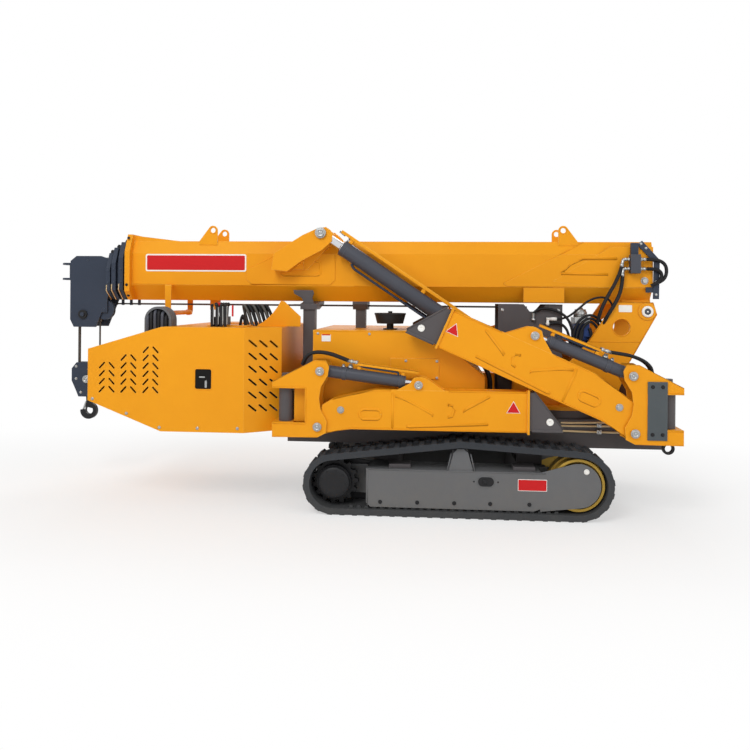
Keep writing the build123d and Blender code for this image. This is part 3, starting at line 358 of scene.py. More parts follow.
    def emit(self):
        """Makes the piece, and one more of the painted shade lines that lie under its creases."""
        bmesh.ops.recalc_face_normals(self.mesh, faces=self.mesh.faces)
        bmesh.ops.scale(self.mesh, vec=(MM, MM, MM), verts=self.mesh.verts)
        data = bpy.data.meshes.new(self.name)
        self.mesh.to_mesh(data)
        self.mesh.free()
        data.materials.append(FINISH[self.finish])
        settle(bpy.data.objects.new(self.name, data), self.body)
        if self.dust_and_crease_shade:
            # A darker brown bead along each crease's lower corner: painted shade
            lines = Build(self.name + "_dust", self.body, "painted_crease_shade", self.place)
            for points in self.dust_and_crease_shade:
                lines.bead(points, 2.2, 6)
            lines.emit()


def pipe(name, body, finish, points, r, place=None):
    """Smooth pipe or hose, in millimetres, through a NURBS line with held ends."""
    curve = bpy.data.curves.new(name, "CURVE")
    curve.dimensions = "3D"
    spline = curve.splines.new("NURBS")
    spline.points.add(len(points) - 1)
    for point, place_mm in zip(spline.points, points):
        at = (place or Matrix.Identity(4)) @ Vector(place_mm)
        point.co = (*(at * MM), 1)
    spline.order_u = 3
    spline.use_endpoint_u = True
    spline.resolution_u = 8
    curve.bevel_depth = r * MM
    curve.bevel_resolution = 2
    curve.use_fill_caps = True
    curve.materials.append(FINISH[finish])
    return settle(bpy.data.objects.new(name, curve), body)


def bend(piece):
    """Turns a hose that runs between turret and boom, from start to end, into a mesh."""
    bpy.context.view_layer.update()
    name, finish = piece.name, piece.data.materials[0]
    data = bpy.data.meshes.new_from_object(piece.evaluated_get(bpy.context.evaluated_depsgraph_get()))
    bpy.data.objects.remove(piece)
    data.materials.clear()
    data.materials.append(finish)
    hose = bpy.data.objects.new(name, data)
    scene.collection.objects.link(hose)
    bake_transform(hose)


def corner(end, side):
    """Matrix from the swing axis frame (u outwards along the leg, y outwards, z up) to the row frame."""
    along = -1 if end == "front" else 1
    out = -1 if side == "near" else 1
    return Matrix(((along, 0, 0, SWING_X[end]), (0, out, 0, out * SWING_Y), (0, 0, 1, 0), (0, 0, 0, 1)))


def turned(angle, x, z, along=1):
    """Matrix from a frame turned by an angle in X and Z and placed at x and z. along=-1 points it to -X."""
    c, s = cos(angle), sin(angle)
    return Matrix(((along * c, 0, -along * s, x), (0, 1, 0, 0), (s, 0, c, z), (0, 0, 0, 1)))


def on_side(side):
    """Matrix that leaves a near-side shape, or mirrors it to the far side."""
    return Matrix.Diagonal((1, 1 if side == "near" else -1, 1, 1))


def rounded(x, z, width, height, r, steps=6):
    """Outline of a rounded rectangle in X and Z."""
    right, left, top, bottom = x + width / 2 - r, x - width / 2 + r, z + height / 2 - r, z - height / 2 + r
    points = []
    for cx, cz, start in ((right, top, 0), (left, top, 90), (left, bottom, 180), (right, bottom, 270)):
        points += circle(cx, cz, r, start, 90 / steps, steps + 1)
    return points


def closed(points, y):
    """A closed outline in X and Z, as points at one Y."""
    return at_y(points + points[:1], y)


def sign(name, body, outline, inner, y, out, place=None):
    """Blank plate with a white rim: outline, and the raised red field inside it. out is the way it faces in Y."""
    Build(name + "_rim", body, "white", place).prism(outline, sorted((y, y + out * 2)), 0.6).emit()
    Build(name, body, "red", place).prism(inner, sorted((y + out, y + out * 2.8)), 0.6).emit()


def sided(side, name, finish, body="carrier"):
    """A piece on one side: drawn for the near side, and mirrored to the far one."""
    return Build(f"{name}_{side}", body, finish, on_side(side))


# ---- undercarriage

def track_line(offset, steps=14):
    """The track's outline in X and Z, offset inwards from the lugs' tips, as points round its three wheels."""
    lean = []
    for (ax, az, ar), (bx, bz, br) in zip(TRACK_WHEELS, TRACK_WHEELS[1:]):
        apart = hypot(bx - ax, bz - az)
        lean.append(atan2(bz - az, bx - ax) + pi / 2 + atan2(br - ar, (apart ** 2 - (br - ar) ** 2) ** 0.5))
    turns = ((-pi / 2, lean[0] - 2 * pi), tuple(lean), (lean[1], -pi / 2))
    points = []
    for (x, z, r), (start, end) in zip(TRACK_WHEELS, turns):
        for i in range(steps + 1):
            t = start + (end - start) * i / steps
            points.append((x + (r - offset) * cos(t), z + (r - offset) * sin(t)))
    return points


def track(side):
    """The track's shoulder and the guides inside it."""
    shoulder = sided(side, "track_shoulder", "rubber")
    shoulder.loop(track_line(4), track_line(22), (-749.6, -736)).emit()
    guides = sided(side, "track_guides", "rubber")
    for i in range(27):
        x = 110 + i * 54
        guides.prism([(x - 18, 36), (x + 18, 36), (x + 12, 62), (x - 12, 62)], (-722, -690), 4)
    guides.emit()


def track_frame(side):
    """Bolts, port, sign, seams and steps on the track frame."""
    y, port = -TRACK_FACE, (1037, 253)
    bolts = sided(side, "track_frame_bolts", "black")
    bolts.bolts([(x, 96 + (x - 313) * 0.01) for x in (313, 569, 822, 1067, 1331)], y, r=11)
    bolts.bolts([(x, port[1]) for x in (955, 1119)], y, r=4.5).emit()
    hole = sided(side, "track_frame_port", "black")
    hole.prism(rounded(*port, 106, 62, 30), (y - 2.5, y), 1)
    hole.round((port[0] - 7, y - 2, port[1]), OUT, ((0, 17), (5, 16), (7, 12)), 20).emit()
    rim = sided(side, "track_frame_port_rim", "grey_frame")
    rim.bead(closed(rounded(*port, 116, 72, 35), y), 4).emit()
    sign(f"track_sign_{side}", "carrier", rounded(1350, 238, 196, 80, 3, 1), rounded(1350, 238, 189, 73, 2, 1), y, -1,
         on_side(side))
    seams = sided(side, "track_frame_seams", "grey_frame")
    for start, end in (((225, y, 70), (225, y, 318)), ((225, y, 318), (1440, y, 318)),
                       ((772, y, 323), (800, y + 9, 440)), ((960, y, 323), (932, y + 9, 440))):
        seams.bead([start, end], 4)
    seams.emit()
    steps = sided(side, "track_frame_steps", "dark_frame")
    for x in (445, 1300):
        steps.box((x - 75, x + 75), (-690, -560), (322, 350), 4)
    steps.emit()
    sided(side, "idler_hub", "white").bolt((1711, y, 338), r=15).emit()


def drive(side):
    """The mount behind the sprocket, and the drive's cover with its ring of bolts."""
    mount = sided(side, "drive_mount", "black")
    mount.prism([(250, 50), (250, 322)] + circle(*SPROCKET, 158, 75, 15, 14), (-512, -500), 3).emit()
    cover = sided(side, "drive_motor", "black")
    cover.round((SPROCKET[0], -689, SPROCKET[1]), OUT,
                ((0, 112), (14, 112), (22, 104), (26, 70), (24, 60), (24, 20)), 40)
    cover.bolts(circle(*SPROCKET, 88, 0, 40, 9), -710, r=7).emit()


def chassis_trim(side):
    """Pipes along the chassis with their clamps, and the tie-down eye at the turret's end."""
    runs = ((1589, 618, 1926, 626, -438), (1589, 596, 1960, 600, -438), (1149, 566, 2040, 556, -442))
    for i, (x0, z0, x1, z1, y) in enumerate(runs):
        pipe(f"chassis_pipe_{side}_{i}", "carrier", "cream",
             [(x0, y + 12, z0), (x0 + 40, y, z0), ((x0 + x1) / 2, y, (z0 + z1) / 2), (x1 - 40, y, z1),
              (x1, y + 12, z1)], 7, on_side(side))
    clamp = sided(side, "chassis_pipe_clamps", "steel")
    for z in (560, 607):
        clamp.box((1838, 1872), (-450, -430), (z - 16, z + 16), 4).bolt((1855, -450, z))
    clamp.emit()
    eye = sided(side, "tie_down_eye", "black")
    inner, outer = (circle(2273, 492, r, 0, 20, 19) for r in (24, 42))
    for i in range(18):
        eye.prism([inner[i], outer[i], outer[i + 1], inner[i + 1]], (-650, -630), 0)
    eye.emit()


# ---- engine cover, hood and what stands on them

def cover_trim(side):
    """Bolts and latch on the engine cover's side."""
    y, latch = -COVER_FACE, (-959, 916)
    bolts = sided(side, "cover_bolts", "steel")
    bolts.bolts(((-1773, 762), (-1520, 662), (-1277, 566), (-999, 566), (-709, 570)), y).emit()
    hole = sided(side, "cover_latch", "shadow")
    hole.prism(rounded(*latch, 134, 158, 18), (y + 3.5, y + 26), 0.5).emit()
    handle = sided(side, "cover_latch_handle", "steel")
    handle.prism(rounded(latch[0] + 19, latch[1] - 36, 16, 52, 5), (y - 1, y + 4), 2)
    handle.prism(rounded(latch[0] - 9, latch[1] + 14, 44, 10, 4), (y - 2, y + 4), 2).emit()
    rim = sided(side, "cover_latch_rim", "yellow")
    rim.bead(closed(rounded(*latch, 124, 148, 16), y), 4).emit()


def hood_trim(side):
    """Bolts, sign and edge seams on the hood's side."""
    y = -HOOD_FACE
    bolts = sided(side, "hood_bolts", "steel")
    bolts.bolts(((-164, 1243), (210, 1243)), y, r=8)
    bolts.bolts(((475, 1054), (697, 1054), (697, 934)), y - 8, r=8).emit()
    sign(f"hood_sign_{side}", "carrier", rounded(-104, 1212, 66, 52, 2, 1), rounded(-104, 1234, 60, 8, 2, 1), y, -1,
         on_side(side))
    seams = sided(side, "hood_seams", "yellow")
    for line in (((-196, 655), (-196, 1262)), ((-196, 1262), (478, 1262)), ((478, 1262), (846, 1098), (1034, 950))):
        seams.bead(at_y(line, y))
    seams.emit()


def cover_top():
    """Lids and shield on the engine cover, the boom rest's cradle, and hoses over the roof and behind the hood."""
    lids = Build("cover_top_lids", "carrier", "yellow")
    for y in ((-480, -120), (120, 480)):
        lids.box((-1000, -700), y, (COVER_TOP - 1, COVER_TOP + 8), 3)
    lids.emit()
    cradle = Build("boom_rest_cradle", "carrier", "dark_frame")
    cradle.prism([(-408, 1560), (-257, 1560), (-248, 1536), (-262, 1500), (-242, 1450), (-322, 1450), (-342, 1500),
                  (-402, 1532)], (-222, -206), 3)
    cradle.box((-408, -257), (-222, -170), (1440, 1452), 3).emit()
    for i, (y, dx) in enumerate(((-350, 0), (-270, 12), (-200, 4))):
        pipe(f"pump_hose_{i}", "carrier", "hose",
             [(790, y, 1090), (860, y, 1150 - 8 * i), (950, y - 8, 1112), (1030 + dx, y - 10, 1030),
              (1084 + dx, y - 10, 930), (1088 + dx, y - 8, 800), (1086 + dx, y, 640)], 14 - i)
    for i, dx in enumerate((-68, -41, -14, 14, 41, 68)):
        x, top = -1342 + dx, 1312 + (83 ** 2 - dx ** 2) ** 0.5
        pipe(f"roof_hose_{i}", "carrier", "hose" if i % 2 else "barrel",
             [(x, -574, 1222), (x - 2, -574, 1290), (x - 4, -570, top - 28), (x - 6, -556, top), (x - 8, -500, top),
              (x - 8, -452, top - 8)], 12)
    shield = Build("cover_shield", "carrier", "yellow")
    shield.prism([(-659, 1283), (-329, 1283), (-329, 1359), (-455, 1474), (-480, 1476), (-506, 1432), (-540, 1386),
                  (-578, 1347), (-618, 1314), (-659, 1292)], (-330, -322), 2).emit()


def valve_trim():
    """Hoses, rods and knobs of the control valves on the engine cover."""
    for i in range(6):
        x = -770 + i * 34
        pipe(f"valve_hose_{i}", "carrier", "hose" if i % 2 else "rope",
             [(x + 66, -300, COVER_TOP), (x + 48, -300, 1350), (x + 14, -296, 1424), (x - 12, -280, 1448),
              (x - 10, -262, 1400), (x + 20, -250, 1286)], 12)
    pipe("valve_hose_front", "carrier", "hose",
         [(-772, -400, COVER_TOP), (-766, -400, 1345), (-744, -400, 1376), (-732, -400, COVER_TOP)], 11)
    rods = Build("valve_rods", "carrier", "black")
    plated = Build("valve_rods_plated", "carrier", "steel")
    for x in (-944, -908, -876, -844):
        rods.box((x - 9, x + 9), (-548, -530), (COVER_TOP, 1438), 3)
        rods.round((x, -538, 1436), UP, ((0, 12), (8, 13), (14, 9)), 12)
        plated.box((x + 10, x + 16), (-547, -535), (1300, 1428), 2)
    rods.emit()
    plated.emit()
    knobs = Build("valve_knobs", "carrier", "black")
    red_knob = Build("valve_knob_red", "carrier", "red")
    for i in range(6):
        (red_knob if i == 1 else knobs).round(
            (-926 + 6.9 * i, -495 + i * 38, COVER_TOP + 163), UP,
            ((-15, 5), (-13, 11), (-5, 14.5), (4, 14), (11, 9), (14, 3)), 20)
    red_knob.box((-796, -784), (-545, -533), (1360, 1442), 3)
    knobs.emit()
    red_knob.emit()


# ---- boom

def boom_side(side):
    """Sign, pressed creases, welds, tabs and pins on the base boom's side."""
    y = -BOOM_FACE
    face = y - DOUBLER
    middle, size = (-1188, 1768), (804, 136)
    sign(f"boom_sign_{side}", "boom", rounded(*middle, *size, 14),
         rounded(*middle, size[0] - 22, size[1] - 22, 9), y, -1, on_side(side))
    creases = sided(side, "boom_creases", "yellow", "boom")
    creases.crease(at_y([(-520, 1784), (-235, 1787), (-212, 1780), (-205, 1760), (-205, 1690), (-212, 1682),
                         (-235, 1678), (-490, 1677), (-512, 1690)], face))
    creases.bead(at_y([(-532, 1838), (-779, 1712), (-779, 1640), (-744, 1605), (-128, 1605), (-93, 1640),
                       (-93, 1838)], y - 3), 4)
    creases.crease(at_y([(1622, 1700), (1966, 1696)], face))
    creases.crease(at_y([(1622, 1700), (1694, 1771), (1782, 1812), (2031, 1813)], face))
    creases.bead([(1560, face + 4, 1640), (1990, face + 4, 1900)], 4)
    creases.bead([(-1690, y, 1600), (-700, y, 1594)]).bead([(60, y, 1594), (1560, y, 1596)])
    creases.crease([(1195, y, 1622), (1622, y, 1845)], 6, 2)
    creases.bead([(1622, y, 1846), (1790, y + 40, 1938)], 4).emit()
    tab = sided(side, "boom_rear_tab", "yellow", "boom")
    tab.prism([(1195, 1622), (1222, 1600), (1900, 1598), (1990, 1841), (1622, 1841)], (y - 5.4, y - 0.5), 1)
    tab.prism([(1344, 1480), (1647, 1480), (1647, 1590), (1344, 1590)], (y - 6, y - 0.5), 2).emit()
    pins = sided(side, "boom_pins", "steel", "boom")
    pins.pin((LIFT_EAR[0], -326, LIFT_EAR[1]), r=34).bolt((2233, face, 1647), r=22).emit()
    collar = sided(side, "boom_collar_bolts", "black", "boom")
    collar.bolt((-1722, -209, 1960), (0, -0.919, 0.394)).bolt((-1722, -241, 1592))
    collar.bolt((-1722, -205, 1509), (0, -0.7, -0.71)).emit()
    guard = sided(side, "boom_tail_guard", "slate", "boom")
    guard.prism([(2208, 1946), (2338, 1803), (2335, 1512), (2291, 1512), (2295, 1786), (2172, 1916)], (-214, -203), 2)
    guard.box((2240, 2300), (-206, -196), (1560, 1600), 2).emit()
    bolts = sided(side, "boom_tail_guard_bolts", "steel", "boom")
    bolts.bolts(((2236, 1890), (2314, 1640), (2313, 1545), (2200, 1922)), -214, r=8).emit()


def tail_valve():
    """The valve block at the boom's tail, with its unions and hoses."""
    y = -232
    Build("tail_valve", "boom", "barrel").box((2117, 2189), (y - 30, y + 36), (1701, 1841), 3).emit()
    Build("tail_valve_bracket", "boom", "slate").box((2126, 2180), (y + 6, y + 36), (1835, 1928), 3).emit()
    unions = Build("tail_valve_unions", "boom", "steel")
    for z in (1735, 1805):
        for x, axis in ((2117, (-1, 0, 0)), (2189, RIGHT)):
            unions.round((x, y, z), axis,
                         ((0, 15), (14, 15), (16, 10), (24, 10), (26, 14), (38, 14), (40, 10), (52, 10)), 12)
    for z, t in ((1800, 12), (1730, 5)):
        unions.round((2066, y, z), (-sin(radians(t)), 0, -cos(radians(t))),
                     ((-6, 10), (10, 12), (30, 12), (32, 15), (52, 15)), 12)
    unions.emit()
    bend(pipe("tail_hose_0", "boom", "hose",
              [(2060, y, 1768), (2046, -234, 1710), (2010, -240, 1630), (1964, -250, 1550), (1916, -254, 1460),
               (1895, -246, 1390), (1884, -222, 1330)], 14))
    bend(pipe("tail_hose_1", "boom", "hose",
              [(2064, y, 1690), (2062, -234, 1640), (2046, -244, 1560), (2018, -252, 1500), (1985, -253, 1440),
               (1950, -246, 1380), (1925, -222, 1320)], 14))
    pipe("tail_hose_2", "boom", "hose",
         [(2240, y, 1805), (2310, -234, 1806), (2372, -238, 1772), (2382, -240, 1700), (2350, -236, 1640),
          (2290, -222, 1622)], 13)
    pipe("tail_hose_3", "boom", "hose",
         [(2240, y, 1735), (2300, -234, 1735), (2340, -238, 1714), (2346, -240, 1670), (2318, -234, 1632),
          (2276, -216, 1610)], 13)


def boom_top():
    """Welds round the base boom's lifting ears."""
    welds = Build("boom_ear_welds", "boom", "yellow")
    for x, start, end in EARS:
        for y in (-161, 161):
            welds.bead([(x + start, y, 1911), (x + end, y, 1911)], 4)
            welds.bead([(x + start, y * 149 / 161, 1938), (x + end, y * 149 / 161, 1938)], 4)
            welds.bead(at_y(circle(x, EAR_Z, 27, 0, 20, 19), y))
    welds.emit()


def rope_guide():
    """Rope guide under the boom: two arms and a roller across."""
    x, z, half = -1384, 1374, 250
    arms = Build("rope_guide_arms", "boom", "yellow")
    for y in (-half, half):
        arms.prism([(x - 26, 1590), (x + 26, 1590), (x + 22, z + 10), (x + 14, z - 20), (x - 14, z - 20),
                    (x - 22, z + 10)], (y - 5, y + 5), 2)
        arms.box((x - 26, x + 26), sorted((y, y * 0.7)), (1584, 1594), 2)
    arms.box((-1120, -1056), (-40, 40), (1400, 1478), 4).emit()
    roller = Build("rope_guide_roller", "boom", "yellow")
    roller.round((x, 6 - half, z), (0, 1, 0),
                 ((0, 14), (8, 14), (10, 24), (60, 24), (70, 18), (424, 18), (434, 24), (480, 24), (482, 14),
                  (488, 14))).emit()
    ends = Build("rope_guide_bolts", "boom", "steel")
    for out in (-1, 1):
        ends.bolt((x, out * (half + 5), z), (0, out, 0), r=13)
    ends.emit()


def hoist_rope():
    """Hoist rope along the boom's underside: each section carries its own length of it, and a clip for it."""
    z, r = 1442, 7
    bodies = ("boom", "section_2", "section_3", "section_4", "section_5")
    for i, (body, front) in enumerate(zip(bodies, (-1740, -1806, -1874, -1926, -1975))):
        rear = front + 3200 if i else 1180
        pipe(f"hoist_rope_{i + 1}", body, "rope", [(front, 0, z), ((front + rear) / 2, 0, z), (rear, 0, z)],
             r - 0.35 * i)
    for i, (x, top) in enumerate(((-1720, 1480), (-1788, 1476), (-1857, 1480), (-1911, 1484))):
        clip = Build(f"rope_clip_{i + 1}", bodies[i], "slate")
        for y in (-11, 7):
            clip.box((x - 8, x + 8), (y, y + 4), (z - 8, top), 1)
        clip.box((x - 8, x + 8), (-11, 11), (z - 11, z - 7), 1).emit()
    pipe("hoist_rope_feed", "upper", "rope", [(1200, 0, z - 3), (1230, 0, z - 30), (1262, 0, 1310), (1275, 0, 1262)],
         r)


def collar(section, x0, x1):
    """Seal strips, top rollers and screws on a telescopic section's collar, which reaches from x0 to x1."""
    step = section - 1
    half = BOOM_FACE - 22 * step + 34
    low = BOOM_BOTTOM + 14 * step - 34
    knee = low + 118 - 18 * step
    low_y = half * (0.5 + 0.5 * (1476 - low) / (knee - low))
    strips = Build(f"collar_{section}_seals", f"section_{section}", "cream")
    screws = Build(f"collar_{section}_screws", f"section_{section}", "slate")
    for out in (-1, 1):
        strips.bead([(x0 + 3, out * (half + 1), knee + 44), (x0 + 3, out * (half + 1), knee),
                     (x0 + 3, out * (low_y + 1), 1478)], 5)
        screws.bolts([((x0 + x1) / 2, z) for z in (knee + 60, knee + 160)], out * half, (0, out, 0), r=7)
    strips.emit()
    screws.emit()
    rollers = Build(f"collar_{section}_fittings", f"section_{section}", "black")
    top = BOOM_TOP - 42 * step + 34
    for y in (-70, 0, 70):
        rollers.box((x0 + 2, x1 - 2), (y - 16, y + 16), (top - 4, top + 16), 3)
        rollers.round(((x0 + x1) / 2, y - 12, top + 14), (0, 1, 0), ((0, 13), (24, 13)), 16)
    rollers.emit()


def head_and_hook():
    """Bolts and welds on the boom's head, and pins, bolts and latch on the hook block."""
    head = Build("boom_head_bolts", "section_5", "slate")
    welds = Build("boom_head_welds", "section_5", "slate")
    block = Build("hook_block_bolts", "hook_body", "steel")
    for out in (-1, 1):
        axis = (0, out, 0)
        head.round((HEAD_SHEAVE[0], out * 130, HEAD_SHEAVE[1]), axis, ((0, 17), (6, 17), (9, 13)))
        head.bolts(((-2100, 1790), (-2030, 1290)), out * 116, axis, r=7)
        for z in (1770, 1754, 1648, 1632):
            welds.bead([(-2243, out * 67, z), (-2186, out * 67, z)])
        block.pin((HOOK_SHEAVE[0], out * 54, HOOK_SHEAVE[1]), axis, r=26)
        for dx, z in ((90, 930), (90, 830), (50, 720)):
            block.bolts(((HOOK_SHEAVE[0] - dx, z), (HOOK_SHEAVE[0] + dx, z)), out * 46, axis)
    head.emit()
    welds.emit()
    block.emit()
    latch = Build("hook_latch", "hook_body", "steel")
    latch.prism([(-2190, 575), (-2180, 575), (-2152, 640), (-2164, 644)], (-10, 10)).emit()


# ---- lift cylinders

def lift_cylinder(side):
    """Pipe guard, pipes, fittings, gland and base pin of a lift cylinder, drawn along its axis from the base pin."""
    angle = atan2(LIFT_EAR[1] - LIFT_BASE[1], LIFT_BASE[0] - LIFT_EAR[0])
    place = on_side(side) @ turned(angle, *LIFT_BASE, along=-1)
    y = -LIFT_Y
    rail = Build(f"lift_pipe_guard_{side}", "lift_barrels", "yellow", place)
    rail.box((170, 1680), (y - 26, y + 26), (104, 112)).box((170, 1680), (y - 26, y - 20), (88, 108))
    for x in (240, 900, 1560):
        rail.box((x, x + 30), (y - 20, y + 20), (58, 105))
    rail.emit()
    for i, out in enumerate((-16, 10)):
        pipe(f"lift_pipe_{side}_{i}", "lift_barrels", "slate",
             [(300, y + out, -62), (300, y + out, -82), (340, y + out, -84), (1400, y + out, -84),
              (1460, y + out, -84), (1480, y + out, -60)], 9, place)
    fittings = Build(f"lift_fittings_{side}", "lift_barrels", "steel", place)
    fittings.round((1590, y, 60), UP, ((0, 20), (16, 20), (18, 14), (34, 14)), 12)
    fittings.round((1640, y - 8, 92), RIGHT, ((0, 12), (28, 12), (30, 9), (52, 9)), 12)
    fittings.round((300, y, -56), (0, 0, -1), ((0, 22), (14, 22), (16, 16), (26, 16)), 12).emit()
    gland = Build(f"lift_gland_{side}", "lift_barrels", "chrome", place)
    gland.round((1606, y, 0), RIGHT, ((0, 52), (8, 52), (12, 40), (16, 40)), 32).emit()
    eye = Build(f"lift_eye_pins_{side}", "lift_barrels", "steel", on_side(side))
    eye.pin((LIFT_BASE[0], -318, LIFT_BASE[1]), r=27).emit()


# ---- turret, winch and slew drive

def turret_side(side):
    """Welds, pivot pin and blank label on the turret's cheek."""
    y = -TURRET_FACE
    seams = sided(side, "turret_welds", "yellow", "upper")
    seams.bead([(1822, y, 1192), (2198, y, 1192)])
    seams.bead(at_y(circle(2058, 1300, 66, 0, 15, 25), y), 4)
    seams.bead(at_y([(1820, 1194), (2014, 1484), (2286, 1484), (2312, 1398), (2120, 1050)], y), 4).emit()
    pin = sided(side, "boom_pivot_pin", "white", "upper")
    pin.round((BOOM_PIVOT[0], y - 15, BOOM_PIVOT[1]), OUT,
              ((0, 42), (4, 42), (8, 36), (8, 22), (4, 20), (4, 10), (9, 8)), 32).emit()
    cap = sided(side, "boom_pivot_cap", "barrel", "upper")
    cap.round((BOOM_PIVOT[0], y - 18, BOOM_PIVOT[1]), OUT, ((0, 23), (6, 23), (8, 19), (8, 7), (5, 6)), 28).emit()
    label = sided(side, "turret_label", "white", "upper")
    label.prism(rounded(2085, 1440, 96, 52, 3, 1), (y - 1.5, y), 0.5).emit()


def slew_ring_trim():
    bolts = Build("slew_ring_bolts", "carrier", "steel")
    for x, y in circle(1650, 0, 372, 0, 10, 36):
        bolts.bolt((x, y, 700), UP)
    bolts.emit()


def winch_trim():
    """Bolts and fittings on the winch's frame, and its hoses."""
    fittings = Build("winch_fittings", "upper", "steel")
    fittings.round((1421, -176, 1340), UP, ((0, 16), (18, 16), (20, 11), (60, 11)), 12)
    for y in (-160, 160):
        fittings.bolts(((1190, 760), (1190, 1420), (1610, 760), (1610, 1420), (1500, 1100), (1500, 900)), y,
                       (0, y, 0), r=10)
    fittings.emit()
    elbow = Build("winch_elbow", "upper", "white")
    elbow.round((1528, -176, 1308), UP, ((0, 14), (20, 14), (22, 10), (54, 10)), 12)
    elbow.round((1524, -176, 1356), RIGHT, ((-6, 11), (30, 11), (32, 14), (70, 14)), 12).emit()
    for i, (line, r) in enumerate((
        ([(1421, -176, 1396), (1440, -178, 1425), (1520, -186, 1440), (1640, -196, 1400), (1700, -200, 1320),
          (1720, -190, 1210)], 10),
        ([(1500, -172, 1300), (1560, -180, 1330), (1640, -190, 1320), (1690, -192, 1240), (1700, -180, 1100)], 10),
        ([(1590, -176, 1355), (1661, -182, 1358), (1744, -190, 1426), (1830, -200, 1505), (1930, -206, 1530),
          (1998, -206, 1490), (2012, -200, 1400)], 8),
    )):
        pipe(f"winch_hose_{i}", "upper", "hose", line, r)


def slew_drive_trim():
    """The slew drive's top with its bolts, and the hoses that leave it and loop over it."""
    x, y = 1780, -120
    top = Build("slew_motor_top", "upper", "steel")
    top.round((x, y, 1225), UP, ((0, 60), (14, 60), (18, 46), (30, 46)), 32)
    top.box((x - 58, x + 58), (y - 78, y + 78), (1322, 1372), 6)
    top.round((x, y, 1370), UP, ((0, 50), (40, 50), (48, 42), (60, 42), (62, 20), (74, 18)), 28)
    for bolt_x, bolt_y in circle(x, y, 66, 0, 45, 8):
        top.bolt((bolt_x, bolt_y, 1200), UP, r=6)
    top.emit()
    pipe("slew_hose_0", "upper", "hose",
         [(1780, -196, 1290), (1780, -206, 1240), (1740, -208, 1120), (1700, -204, 960), (1690, -190, 820)], 13)
    pipe("slew_hose_1", "upper", "hose",
         [(1830, -196, 1290), (1850, -206, 1260), (1842, -208, 1120), (1800, -204, 960), (1790, -196, 820)], 13)
    for i, (dx, z) in enumerate(((0, 1350), (26, 1326), (52, 1300))):
        pipe(f"slew_loop_{i}", "upper", "hose",
             [(1700 + dx, -206, 1110), (1706 + dx, -206, 1240), (1750 + dx * 0.7, -207, z), (1836, -208, z + 50),
              (1920 - dx * 0.6, -207, z), (1946 - dx, -206, 1250), (1950 - dx, -204, 1110)], 10)


# ---- outriggers

def leg_trim(name, leg, kind):
    """Pressed creases, welds, pins and mark on a leg, and the foot pins and welds on the inner one."""
    _, ear_x, ear_z = LEGS[kind]
    body, inner = f"{name}_leg", f"{name}_leg_inner"
    creases = Build(f"{name}_creases", body, "yellow", leg)
    for y in (-LEG_FACE, LEG_FACE):
        creases.crease(closed(rounded(367, 92, 150, 68, 33), y))
        for line in (((522, 2), (522, 240)), ((540, 225), (620, 196), (790, 106), (800, 92)),
                     ((620, 16), (640, 12), (1180, 40)), ((1010, 126), (1040, 146), (1190, 230)),
                     ((905, 170), (935, 165), (948, 130), (935, 90), (905, 84))):
            creases.crease(at_y(line, y))
        for line in (((20, -52), (232, -10), (1440, -10)), ((104, 193), (402, 260), (ear_x - 190, 260)),
                     ((ear_x + 212, 260), (1440, 260))):
            creases.bead(at_y(line, y), 5)
    creases.emit()
    welds = Build(f"{name}_welds", body, "yellow", leg)
    for y in (-58, 58):
        welds.bead([(ear_x - 186, y, 263), (ear_x + 206, y, 263)], 4)
    for z in (-14, 264):
        welds.bead([(1444, -66, z), (1444, 66, z)], 4)
    welds.emit()
    mark = (1392, 136) if kind == "high" else (1351, 146)
    sign(f"{name}_mark", body, *(circle(*mark, r, 90, 120, 3) for r in (55, 49)), LEG_FACE, 1, leg)
    pins = Build(body + "_pins", body, "steel", leg)
    foot = Build(f"{name}_foot_pin", inner, "white", leg)
    for out in (-1, 1):
        pins.pin((ear_x, out * 74, ear_z), (0, out, 0)).bolt((160, out * 65, 118), (0, out, 0), r=20)
        foot.round((1600, out * 53, 60), (0, out, 0), ((0, 25), (6, 25), (9, 21), (9, 8), (5, 6)), 28)
    pins.emit()
    foot.emit()
    edges = Build(f"{name}_foot_welds", inner, "dark_frame", leg)
    for y in (-54, 54):
        edges.bead([(1492, y, 268), (1690, y, 12)], 5).bead([(1480, y, -10), (1688, y, -10)], 4)
    edges.emit()


def bracket_trim(name, post, end):
    """Pins and lips on a bracket, and the bolted plate on the front ones."""
    body = f"{name}_bracket"
    pins = Build(body + "_pins", body, "steel", post)
    for out in (-1, 1):
        for u, z in (LEG_PIVOT, CYLINDER_PIVOT):
            pins.pin((u, out * 92, z), (0, out, 0), r=25)
    pins.emit()
    lips = Build(body + "_lips", body, "yellow", post)
    for y in (-BRACKET_FACE, BRACKET_FACE):
        lips.bead(at_y(((-78, 625), (152, 625), (156, 629), (156, 869), (152, 873), (-78, 873)), y), 6)
        lips.bead(at_y(((240, 531), (-76, 529)), y)).bead(at_y(((-76, 914), (213, 1062), (292, 1062)), y))
    lips.emit()
    if end == "front":
        plate = Build(body + "_plate", body, "plate", post)
        plate.box((30, 160), (BRACKET_FACE - 1, BRACKET_FACE + 9), (560, 954), 3).emit()
        bolts = Build(body + "_plate_bolts", body, "black", post)
        bolts.bolts(((62, 600), (62, 920), (128, 600), (128, 920)), BRACKET_FACE + 9, (0, 1, 0), r=10).emit()


